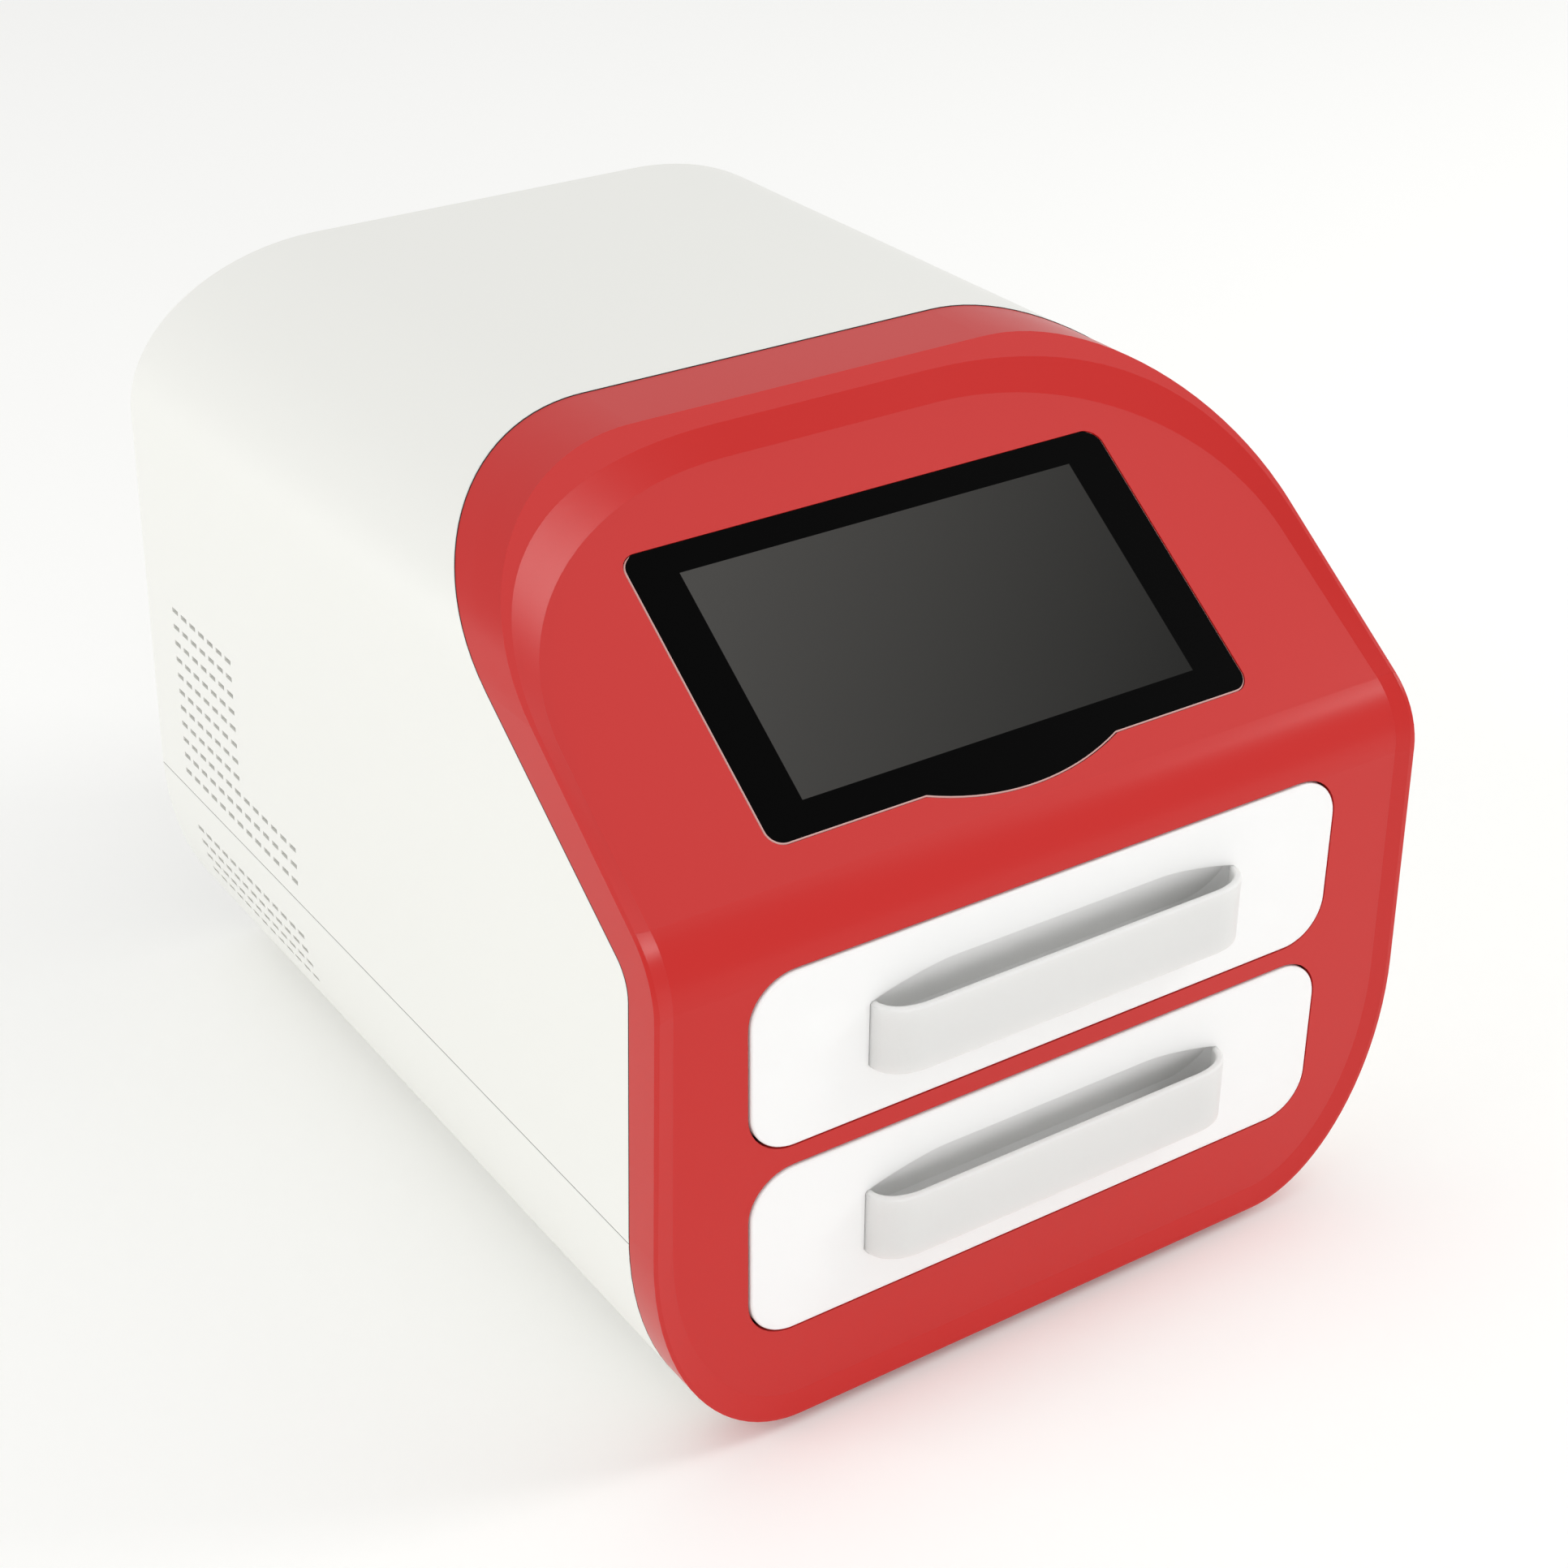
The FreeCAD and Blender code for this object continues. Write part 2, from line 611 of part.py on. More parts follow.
def scoop(z):
    """Tool for the finger scoop: a ramp that runs back behind the pull."""
    half = PULL_HALF - PULL_T / 2
    low = z + PULL_Z + PULL_T
    side = z + PULL_Z + PULL_H
    top = z + SCOOP_TOP
    flat = SCOOP_FLAT_HALF
    right = corner(V(half, 0, side), V((half + flat) / 2, 0, top), V(flat, 0, top), SCOOP_FULL)
    left = corner(V(-flat, 0, top), V(-(half + flat) / 2, 0, top), V(-half, 0, side), SCOOP_FULL)
    bottom = [line(V(-half, 0, side), V(-half, 0, low)), line(V(-half, 0, low), V(half, 0, low)),
              line(V(half, 0, low), V(half, 0, side))]
    outline = Part.Wire(bottom + [right, line(V(flat, 0, top), V(-flat, 0, top)), left])
    seen = Part.Face(outline).extrude(V(0, SCOOP_DEPTH, 0))
    plan = Part.Face(pull_plan(half, PULL_FLAT_HALF, -SCOOP_DEPTH, low)).extrude(V(0, 0, top - low))
    depth = SCOOP_DEPTH
    side_on = [V(-half, 0, low), V(-half, depth, low), V(-half, depth, z + SCOOP_TURN), V(-half, 0, top)]
    return seen.common(plan).common(prism(side_on, V(2 * half, 0, 0)))


def pull_plan(half, flat_half, reach, z):
    """Outline of the pull seen from above: flat front and rounded ends."""
    def end(sign):
        sharp = V(sign * half, -reach, z)
        return corner(V(sign * half, 0, z), sharp, V(sign * flat_half, -reach, z), 0.6)

    left = end(-1)
    right = end(1)
    front = line(V(-flat_half, -reach, z), V(flat_half, -reach, z))
    back = line(V(half, 0, z), V(-half, 0, z))
    return Part.Wire([left, front, right, back])


def drawer_pull(z):
    """Cup pull, open at the top, standing on the drawer face."""
    low = z + PULL_Z
    outside = Part.Face(pull_plan(PULL_HALF, PULL_FLAT_HALF, PULL_REACH, low)).extrude(V(0, 0, PULL_H))
    inner = pull_plan(PULL_HALF - PULL_T, PULL_FLAT_HALF - PULL_T / 2, PULL_REACH - PULL_T, low + PULL_T)
    inside = Part.Face(inner).extrude(V(0, 0, PULL_H))
    return outside.cut(inside)


def tray(z):
    """Cassette tray with a runner along each side."""
    low = z + TRAY_Z
    high = low + TRAY_H
    shape = rounded_tub(-TRAY_HALF, TRAY_HALF, TRAY_Y, TRAY_REAR, low, high, TRAY_R)
    wall = TRAY_WALL
    hollow = rounded_tub(-TRAY_HALF + wall, TRAY_HALF - wall, TRAY_Y + wall, TRAY_REAR - wall,
                         low + TRAY_FLOOR, high + 1, TRAY_R - wall)
    shape = shape.cut(hollow)
    for side in (-1, 1):
        inner = side * (TRAY_HALF - wall / 2)
        outer = side * (TRAY_HALF + RUNNER_W)
        bar = box(min(inner, outer), max(inner, outer), TRAY_Y + RUNNER_SET, TRAY_REAR - TRAY_WALL,
                  z + RUNNER_Z, z + RUNNER_Z + RUNNER_H)
        shape = shape.fuse(bar)
    return shape


def electrode(z):
    """Flat electrode plate that lies inside a tray."""
    half = TRAY_HALF - TRAY_WALL - PLATE_MARGIN
    front = TRAY_Y + TRAY_WALL + PLATE_MARGIN
    rear = TRAY_REAR - TRAY_WALL - PLATE_MARGIN
    return rounded_tub(-half, half, front, rear, z, z + PLATE_T, PLATE_R)


def bush_places():
    """Centres of the rubber bushes between a lid and its electrode."""
    half = TRAY_HALF - TRAY_WALL - BUSH_SIDE
    return [(s * half, y) for s in (-1, 1) for y in (TRAY_Y + BUSH_END, TRAY_REAR - BUSH_END)]


def cassette_lid(z):
    """Lid that rests on the tray, stiffened by crossing ribs."""
    low = z + TRAY_Z + TRAY_H
    lid = rounded_tub(-TRAY_HALF, TRAY_HALF, TRAY_Y + 0.5, TRAY_REAR, low, low + LID_T, TRAY_R)
    top = low + LID_T
    half_t = LID_RIB_T / 2
    high = top + LID_RIB_H
    reach = TRAY_HALF - LID_RIB_SIDE
    front = TRAY_Y + LID_RIB_END
    rear = TRAY_REAR - LID_RIB_END
    for i in range(LID_RIBS_LONG):
        x = reach * (2 * i / (LID_RIBS_LONG - 1) - 1)
        lid = lid.fuse(box(x - half_t, x + half_t, front, rear, top - LID_T / 2, high))
    for i in range(LID_RIBS_CROSS):
        y = front + half_t + i * (rear - front - 2 * half_t) / (LID_RIBS_CROSS - 1)
        lid = lid.fuse(box(-reach - half_t, reach + half_t, y - half_t, y + half_t, top - LID_T / 2, high))
    return lid


def bush(x, y, z0, z1):
    """Barrel-shaped rubber bush."""
    middle = (z0 + z1) / 2
    end = x + BUSH_R - BUSH_WAIST
    arc = Part.Arc(V(end, y, z0), V(x + BUSH_R, y, middle), V(end, y, z1))
    edges = [line(V(x, y, z0), V(end, y, z0)), arc.toShape(),
             line(V(end, y, z1), V(x, y, z1)), line(V(x, y, z1), V(x, y, z0))]
    return Part.Face(Part.Wire(edges)).revolve(V(x, y, z0), V(0, 0, 1), 360)


def contact_blades(z):
    """Two blades on the back of a tray, each on its own foot."""
    middle = z + RUNNER_Z + RUNNER_H / 2
    blades = []
    for x in (-BLADE_X, BLADE_X):
        wide, deep, tall = BLADE_FOOT
        base = box(x - wide / 2, x + wide / 2, TRAY_REAR, TRAY_REAR + deep,
                   middle - tall / 2, middle + tall / 2)
        blade = box(x - BLADE_HALF_W, x + BLADE_HALF_W, TRAY_REAR + deep / 2, TRAY_REAR + deep + BLADE_L,
                    middle - BLADE_T / 2, middle + BLADE_T / 2)
        blades.append(base.fuse(blade))
    return Part.makeCompound(blades)


def contact_sockets(z):
    """Two slotted blocks on the bay's back wall, which take the blades."""
    middle = z + RUNNER_Z + RUNNER_H / 2
    blocks = []
    for x in (-BLADE_X, BLADE_X):
        half = BLADE_HALF_W + SOCKET_SIDE_GAP
        gap = BLADE_T / 2 + SOCKET_GAP
        front = BAY_REAR - SOCKET_L
        tall = BLADE_FOOT[2] / 2
        side = half + SOCKET_WALL
        block = box(x - side, x + side, front, BAY_REAR, middle - tall, middle + tall)
        slot = box(x - half, x + half, front - 1, BAY_REAR - SOCKET_WALL, middle - gap, middle + gap)
        blocks.append(block.cut(slot))
    return Part.makeCompound(blocks)


def drawers():
    """Both cassette drawers with everything that slides with them."""
    for name, z in DRAWERS:
        floor = z + TRAY_Z + TRAY_FLOOR
        cathode_z = floor + PLATE_T + PLATE_SPACE
        lid_z = z + TRAY_Z + TRAY_H
        save(name + "_drawer_front", drawer_front(z))
        save(name + "_drawer_pull", drawer_pull(z))
        save(name + "_tray", tray(z).cut(drawer_screw_holes(z)))
        save(name + "_anode_plate", electrode(floor))
        save(name + "_cathode_plate", electrode(cathode_z))
        save(name + "_cassette_lid", cassette_lid(z))
        bushes = [bush(x, y, cathode_z + PLATE_T, lid_z) for x, y in bush_places()]
        save(name + "_lid_bushes", Part.makeCompound(bushes))
        save(name + "_contact_blades", contact_blades(z))
        save(name + "_drawer_screws", drawer_screws(z))


def drawer_screw_places(z):
    """Where the tray is screwed to the drawer front, as (x, z)."""
    return [(s * TRAY_SCREW_X, z + TRAY_Z + h) for s in (-1, 1) for h in TRAY_SCREW_HS]


def drawer_screw_holes(z):
    """Clearance holes in the tray's front wall."""
    bars = [cylinder_y(x, TRAY_Y - 1, TRAY_Y + TRAY_WALL + 1, h, SCREW_SHANK_R + SCREW_CLEAR)
            for x, h in drawer_screw_places(z)]
    return Part.makeCompound(bars)


def drawer_screws(z):
    """Screws from inside the tray into the drawer front."""
    start = TRAY_Y + TRAY_WALL + SCREW_HEAD_H
    length = TRAY_WALL + TRAY_SCREW_BITE
    screws = [screw(x, start, h, V(0, -1, 0), length) for x, h in drawer_screw_places(z)]
    return Part.makeCompound(screws)


def rail(z, side):
    """Channel that a tray's runner slides in."""
    low = z + RUNNER_Z - RAIL_RUN
    high = z + RUNNER_Z + RUNNER_H + RAIL_RUN
    outer = BAY_HALF
    inner = outer - RAIL_T
    x0 = inner - RAIL_LIP
    points = [V(x0, 0, low - RAIL_T), V(outer, 0, low - RAIL_T), V(outer, 0, high + RAIL_T),
              V(x0, 0, high + RAIL_T), V(x0, 0, high), V(inner, 0, high), V(inner, 0, low), V(x0, 0, low)]
    points = [V(side * p.x, TRAY_Y + RAIL_SET, p.z) for p in points]
    return prism(points, V(0, BAY_REAR - RAIL_REAR - TRAY_Y - RAIL_SET, 0))


def bay_side(side):
    """Upright side sheet of the bay with a foot turned inwards."""
    low = CHASSIS_Z + SHEET
    x0 = BAY_HALF
    x1 = BAY_HALF + SHEET
    points = [V(x1, BAY_FRONT, low), V(x1, BAY_FRONT, TOP_SHELF_Z), V(x0, BAY_FRONT, TOP_SHELF_Z),
              V(x0, BAY_FRONT, low + SHEET), V(x0 - BAY_FLANGE, BAY_FRONT, low + SHEET),
              V(x0 - BAY_FLANGE, BAY_FRONT, low)]
    points = [V(side * p.x, p.y, p.z) for p in points]
    return prism(points, V(0, BAY_REAR - BAY_FRONT, 0))


def chassis():
    """Sheet steel chassis and bay, fixed in the housing."""
    plate = box(-CHASSIS_HALF, CHASSIS_HALF, CHASSIS_FRONT, CHASSIS_REAR, CHASSIS_Z, CHASSIS_Z + SHEET)
    for x, y in boss_places():
        plate = plate.cut(cylinder_z(x, y, CHASSIS_Z - 1, CHASSIS_Z + SHEET + 1, SCREW_SHANK_R + 0.05))
    save("chassis_plate", plate)
    save("bay_side_left", bay_side(-1))
    save("bay_side_right", bay_side(1))
    save("middle_shelf", box(-BAY_HALF, BAY_HALF, BAY_FRONT, BAY_REAR, MID_SHELF_Z, MID_SHELF_Z + SHEET))
    edge = BAY_HALF + SHEET
    save("top_shelf", box(-edge, edge, BAY_FRONT, BAY_REAR, TOP_SHELF_Z, TOP_SHELF_Z + SHEET))
    low = CHASSIS_Z + SHEET
    save("bay_back", box(-edge, edge, BAY_REAR, BAY_REAR + SHEET, low, TOP_SHELF_Z + SHEET))
    for name, z in DRAWERS:
        save(name + "_left_rail", rail(z, -1))
        save(name + "_right_rail", rail(z, 1))
        save(name + "_contact_sockets", contact_sockets(z))


def display():
    """Glass, screen, its board and the spacers between."""
    save("display_glass", on_slope(glass_outline(0.0, -GLASS_T, 0.0)))
    m = LCD_MARGIN
    half = SCREEN_W / 2 + m
    save("lcd_module", on_slope(box(-half, half, -m, SCREEN_L + m, -GLASS_T - LCD_T, -GLASS_T)))
    ledge_back = -GLASS_T - GLASS_GAP - LEDGE_T
    board_half = half + PANEL_BOARD_SIDE
    top = -PANEL_BOARD_DROP
    board = box(-board_half, board_half, -m, SCREEN_L + m, top - PANEL_BOARD_T, top)
    save("display_board", on_slope(board))
    spacers = []
    for x in (SPACER_INSET - board_half, board_half - SPACER_INSET):
        for a in (SPACER_INSET, SCREEN_L - SPACER_INSET):
            spacers.append(on_slope(cylinder_z(x, a, top, ledge_back, SPACER_R)))
    save("display_spacers", Part.makeCompound(spacers))


def electronics():
    """Main board, its spacers and parts, and the power supply."""
    shelf = TOP_SHELF_Z + SHEET
    board_z = shelf + BOARD_LIFT
    half = BOARD[0] / 2
    rear = BOARD_Y + BOARD[1]
    save("main_board", box(-half, half, BOARD_Y, rear, board_z, board_z + BOARD[2]))
    inset = BOARD_SCREW_INSET
    corners = [(s * (half - inset), y) for s in (-1, 1) for y in (BOARD_Y + inset, rear - inset)]
    spacers = [cylinder_z(x, y, shelf, board_z, SPACER_R) for x, y in corners]
    save("board_spacers", Part.makeCompound(spacers))
    top = board_z + BOARD[2]
    x0 = half - SINK[0] - SINK_INSET[0]
    y0 = rear - SINK[1] - SINK_INSET[1]
    sink = box(x0, x0 + SINK[0], y0, y0 + SINK[1], top, top + SINK_BASE)
    for i in range(FINS):
        x = x0 + i * (SINK[0] - FIN_T) / (FINS - 1)
        sink = sink.fuse(box(x, x + FIN_T, y0, y0 + SINK[1], top + SINK_BASE / 2, top + SINK[2]))
    save("heat_sink", sink)
    can_x = CAN_INSET - half
    cans = [cylinder_z(can_x + CAN_PITCH * i, rear - CAN_INSET, top, top + CAN_H, CAN_R) for i in range(CANS)]
    save("board_capacitors", Part.makeCompound(cans))
    supply_half = SUPPLY[0] / 2
    case = box(-supply_half, supply_half, SUPPLY_Y, SUPPLY_Y + SUPPLY[1], shelf, shelf + SUPPLY[2])
    edges = [e for e in case.Edges if abs(e.tangentAt(e.FirstParameter).x) > 0.99 and e.BoundBox.ZMin > shelf]
    save("power_supply", case.makeFillet(2.0, edges))


def rear_panel():
    """Panel between the covers, with a hole for each thing that it carries."""
    y0 = PANEL_Y
    y1 = PANEL_Y + PANEL_T
    panel = body(y0, y1, WALL + PANEL_GAP)
    holes = [cylinder_y(FAN_X, y0 - 1, y1 + 1, FAN_Z, FAN_HOLE_R - 1.0)]
    for x, z in fan_corners():
        holes.append(cylinder_y(x, y0 - 1, y1 + 1, z, SCREW_SHANK_R + SCREW_CLEAR))
    holes.append(box(INLET_X - 14.2, INLET_X + 14.2, y0 - 1, y1 + 1, INLET_Z - 10.7, INLET_Z + 10.7))
    w = ROCKER_W / 2 + 2.2
    h = ROCKER_H / 2 + 2.2
    holes.append(box(SWITCH_X - w, SWITCH_X + w, y0 - 1, y1 + 1, INLET_Z - h, INLET_Z + h))
    holes.append(cylinder_y(FUSE_X, y0 - 1, y1 + 1, INLET_Z, 6.2))
    holes.append(box(USB_X - 7.2, USB_X + 7.2, y0 - 1, y1 + 1, INLET_Z - 3.8, INLET_Z + 3.8))
    for x, z in panel_screw_places():
        holes.append(cylinder_y(x, y0 - 1, y1 + 1, z, SCREW_SHANK_R + SCREW_CLEAR))
    return panel.cut(Part.makeCompound(holes))


def panel_screw_places():
    """Screws round the rear panel, as (x, z)."""
    side = BODY_HALF_W - WALL - FLANGE_W
    return [(-side + 1.0, 115.0), (side - 1.0, 115.0), (-side + 3.5, 215.0), (side - 3.5, 215.0),
            (-50.0, BODY_TOP - TOP_FALL * PANEL_Y - WALL - FLANGE_W / 2 - 0.5),
            (10.0, BODY_TOP - TOP_FALL * PANEL_Y - WALL - FLANGE_W / 2 - 0.5),
            (-60.0, FOOT_H + WALL + FLANGE_W / 2 + 0.5), (60.0, FOOT_H + WALL + FLANGE_W / 2 + 0.5)]


def fan_corners():
    """Screw places of the fan, as (x, z)."""
    return [(FAN_X + sx * FAN_SCREW, FAN_Z + sz * FAN_SCREW) for sx in (-1, 1) for sz in (-1, 1)]


def fan_frame():
    """Square fan housing with a round duct and a three-armed motor seat."""
    y1 = PANEL_Y
    y0 = y1 - FAN_T
    half = FAN_SIZE / 2
    frame = rounded_plate(FAN_X - half, FAN_X + half, FAN_Z - half, FAN_Z + half, 4.0, y0, y1)
    frame = frame.cut(cylinder_y(FAN_X, y0 - 1, y1 + 1, FAN_Z, FAN_HOLE_R))
    seat = cylinder_y(FAN_X, y0, y0 + 3.0, FAN_Z, HUB_R)
    for i in range(3):
        arm = box(FAN_X, FAN_X + FAN_HOLE_R + 0.5, y0, y0 + 2.5, FAN_Z - 2.0, FAN_Z + 2.0)
        arm.rotate(V(FAN_X, y0, FAN_Z), V(0, 1, 0), 30 + 120 * i)
        seat = seat.fuse(arm)
    frame = frame.fuse(seat)
    frame = frame.fuse(cylinder_y(FAN_X, y0 + 2.0, y0 + 14.0, FAN_Z, 2.0))
    for x, z in fan_corners():
        frame = frame.cut(cylinder_y(x, y0 - 1, y1 + 1, z, SCREW_SHANK_R + SCREW_CLEAR))
    return frame


def fan_rotor():
    """Cup-shaped hub on the motor shaft with pitched blades round it."""
    y0 = PANEL_Y - FAN_T + 4.0
    y1 = PANEL_Y - 2.5
    hub = cylinder_y(FAN_X, y0, y1, FAN_Z, HUB_R)
    hub = hub.cut(cylinder_y(FAN_X, y0 - 1, PANEL_Y - FAN_T + 14.5, FAN_Z, 2.05))
    reach = FAN_HOLE_R - 1.5
    for i in range(BLADES):
        root = [V(HUB_R - 1.0, y0 + 1.5, -5.0), V(HUB_R - 1.0, y0 + 3.0, -5.0),
                V(HUB_R - 1.0, y1 - 1.5, 5.0), V(HUB_R - 1.0, y1 - 3.0, 5.0)]
        tip = [V(reach, y0 + 3.5, -9.0), V(reach, y0 + 4.7, -9.0),
               V(reach, y1 - 3.0, 9.0), V(reach, y1 - 4.2, 9.0)]
        blade = Part.makeLoft([Part.makePolygon(root + root[:1]), Part.makePolygon(tip + tip[:1])], True, True)
        blade = blade.common(cylinder_y(0, y0, y1, 0, reach))
        blade.translate(V(FAN_X, 0, FAN_Z))
        blade.rotate(V(FAN_X, y0, FAN_Z), V(0, 1, 0), 360.0 * i / BLADES)
        hub = hub.fuse(blade)
    return hub


def fan_guard():
    """Wire finger guard: rings joined by two cross wires."""
    y = PANEL_Y + PANEL_T
    wires = []
    for i in range(4):
        r = FAN_HOLE_R - 1.0 - 8.5 * i
        ring = cylinder_y(FAN_X, y, y + GUARD_OUT / 2, FAN_Z, r + 0.8)
        wires.append(ring.cut(cylinder_y(FAN_X, y - 1, y + GUARD_OUT, FAN_Z, r - 0.8)))
    guard = wires[0]
    for wire in wires[1:]:
        guard = guard.fuse(wire)
    reach = FAN_SCREW * math.sqrt(2) + 3.0
    for angle in (45, 135):
        bar = box(FAN_X - reach, FAN_X + reach, y, y + 1.5, FAN_Z - 0.8, FAN_Z + 0.8)
        bar.rotate(V(FAN_X, y, FAN_Z), V(0, 1, 0), angle)
        guard = guard.fuse(bar)
    for x, z in fan_corners():
        guard = guard.fuse(cylinder_y(x, y, y + 1.5, z, 3.6))
        guard = guard.cut(cylinder_y(x, y - 1, y + 3, z, SCREW_SHANK_R + SCREW_CLEAR))
    return guard


def mains_inlet():
    """Inlet: flange outside the panel and a cup behind it."""
    y = PANEL_Y + PANEL_T
    flange = rounded_plate(INLET_X - 24, INLET_X + 24, INLET_Z - 13.5, INLET_Z + 13.5, 3.0, y, y + 2.5)
    cup = rounded_plate(INLET_X - 14, INLET_X + 14, INLET_Z - 10.5, INLET_Z + 10.5, 2.0, y - 22, y + 1)
    points = [V(-12, 0, 8.5), V(12, 0, 8.5), V(12, 0, -3.5), V(7, 0, -8.5), V(-7, 0, -8.5), V(-12, 0, -3.5)]
    points = [V(p.x + INLET_X, y - 16, p.z + INLET_Z) for p in points]
    return flange.fuse(cup).cut(prism(points, V(0, 30, 0)))


def inlet_pins():
    """Three flat pins that stand in the inlet's cup."""
    y = PANEL_Y + PANEL_T - 16
    pins = [box(INLET_X + dx - 1, INLET_X + dx + 1, y, y + 11, INLET_Z + dz - 2, INLET_Z + dz + 2)
            for dx, dz in ((-7, -1.0), (0, 3.0), (7, -1.0))]
    return Part.makeCompound(pins)


def switch_housing():
    """Frame of the power switch, with a seat for the rocker's pivots."""
    y = PANEL_Y + PANEL_T
    w = ROCKER_W / 2 + 0.4
    h = ROCKER_H / 2 + ROCKER_GAP
    body_w = ROCKER_W / 2 + 2.0
    body_h = ROCKER_H / 2 + 2.0
    frame = rounded_plate(SWITCH_X - body_w - 2, SWITCH_X + body_w + 2, INLET_Z - body_h - 2,
                          INLET_Z + body_h + 2, 1.5, y, y + 2.0)
    cup = box(SWITCH_X - body_w, SWITCH_X + body_w, y - 18, y + 1, INLET_Z - body_h, INLET_Z + body_h)
    frame = frame.fuse(cup)
    frame = frame.cut(box(SWITCH_X - w, SWITCH_X + w, y - 12, y + 5, INLET_Z - h, INLET_Z + h))
    pivot = Part.makeCylinder(1.3, ROCKER_W + 3.0, V(SWITCH_X - ROCKER_W / 2 - 1.5, y - 3, INLET_Z), V(1, 0, 0))
    return frame.cut(pivot)


def power_rocker():
    """Rocker with a shallow V face and a pivot at each side, tipped to off."""
    y = PANEL_Y + PANEL_T
    half = ROCKER_H / 2
    x = SWITCH_X - ROCKER_W / 2
    points = [V(x, y - 7, INLET_Z - 5), V(x, y - 1, INLET_Z - half), V(x, y + 3.4, INLET_Z - half),
              V(x, y + 1.8, INLET_Z), V(x, y + 3.4, INLET_Z + half), V(x, y - 1, INLET_Z + half),
              V(x, y - 7, INLET_Z + 5)]
    rocker = prism(points, V(ROCKER_W, 0, 0))
    pin = Part.makeCylinder(1.2, ROCKER_W + 2.4, V(x - 1.2, y - 3, INLET_Z), V(1, 0, 0))
    rocker = rocker.fuse(pin)
    rocker.rotate(V(SWITCH_X, y - 3, INLET_Z), V(1, 0, 0), ROCKER_TILT)
    return rocker


def fuse_holder():
    """Round fuse holder with a slotted cap."""
    y = PANEL_Y + PANEL_T
    holder = cylinder_y(FUSE_X, y - 30, y + 1, INLET_Z, 6.0)
    holder = holder.fuse(cylinder_y(FUSE_X, y, y + 2.5, INLET_Z, 8.5))
    return holder.cut(box(FUSE_X - 5, FUSE_X + 5, y + 1.5, y + 4, INLET_Z - 0.7, INLET_Z + 0.7))


def usb_port():
    """Data port: a thin shell with a tongue, and a flange inside the panel."""
    y = PANEL_Y + PANEL_T
    shell_box = box(USB_X - 7, USB_X + 7, y - 14, y, INLET_Z - 3.6, INLET_Z + 3.6)
    shell_box = shell_box.cut(box(USB_X - 6.2, USB_X + 6.2, y - 12, y + 1, INLET_Z - 2.8, INLET_Z + 2.8))
    tongue = box(USB_X - 5.5, USB_X + 5.5, y - 13, y - 2, INLET_Z + 0.4, INLET_Z + 2.2)
    flange = box(USB_X - 12, USB_X + 12, PANEL_Y - 1.5, PANEL_Y, INLET_Z - 6, INLET_Z + 6)
    flange = flange.cut(box(USB_X - 6.5, USB_X + 6.5, PANEL_Y - 3, PANEL_Y + 1, INLET_Z - 3, INLET_Z + 3))
    return shell_box.fuse([tongue, flange])


def rear():
    """Rear panel with the fan, inlet, switch, fuse and data port."""
    y = PANEL_Y + PANEL_T
    save("rear_panel", rear_panel())
    save("fan_frame", fan_frame())
    save("fan_rotor", fan_rotor())
    save("fan_guard", fan_guard())
    save("mains_inlet", mains_inlet())
    save("inlet_pins", inlet_pins())
    save("switch_housing", switch_housing())
    save("power_rocker", power_rocker())
    save("fuse_holder", fuse_holder())
    save("usb_port", usb_port())
    inward = V(0, -1, 0)
    fan_screws = [screw(x, y + 1.5 + SCREW_HEAD_H, z, inward, 20.0) for x, z in fan_corners()]
    save("fan_screws", Part.makeCompound(fan_screws))
    panel_screws = [screw(x, y + SCREW_HEAD_H, z, inward, PANEL_T + 2.0) for x, z in panel_screw_places()]
    save("rear_panel_screws", Part.makeCompound(panel_screws))


os.makedirs("parts", exist_ok=True)
housing()
drawers()
chassis()
display()
electronics()
rear()
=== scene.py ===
import bmesh
import bpy
import math
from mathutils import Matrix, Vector


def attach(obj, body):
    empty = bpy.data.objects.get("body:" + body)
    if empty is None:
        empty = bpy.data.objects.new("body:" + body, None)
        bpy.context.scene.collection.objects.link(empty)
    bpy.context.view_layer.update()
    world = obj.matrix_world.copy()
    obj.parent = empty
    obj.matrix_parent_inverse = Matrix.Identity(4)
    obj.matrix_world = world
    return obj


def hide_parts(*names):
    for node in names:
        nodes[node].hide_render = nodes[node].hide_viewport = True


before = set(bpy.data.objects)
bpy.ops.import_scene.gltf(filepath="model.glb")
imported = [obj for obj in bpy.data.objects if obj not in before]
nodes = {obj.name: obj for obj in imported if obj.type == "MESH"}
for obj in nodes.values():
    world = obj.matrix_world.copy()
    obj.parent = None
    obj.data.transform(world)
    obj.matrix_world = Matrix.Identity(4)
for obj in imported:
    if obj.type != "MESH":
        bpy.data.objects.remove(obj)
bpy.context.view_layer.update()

bpy.ops.object.select_all(action="DESELECT")

# Rubber feet
# Four pads of black nitrile rubber that plug into the base. Moulded rubber is
# dull and slightly grey, with a grain of a fraction of a millimetre.


def linear(code):
    """A written sRGB hex colour as the linear values that a shader wants."""
    levels = [int(code[i:i + 2], 16) / 255 for i in (1, 3, 5)]
    return [c / 12.92 if c <= 0.04045 else ((c + 0.055) / 1.055) ** 2.4 for c in levels] + [1.0]


def add_node(tree, kind, settings=None, links=None):
    """Adds a node, sets its options and sockets, and joins its inputs to outputs."""
    node = tree.nodes.new(kind)
    for key, value in (settings or {}).items():
        if isinstance(key, str) and hasattr(node, key):
            setattr(node, key, value)
        else:
            node.inputs[key].default_value = value
    for key, source in (links or {}).items():
        tree.links.new(source, node.inputs[key])
    return node


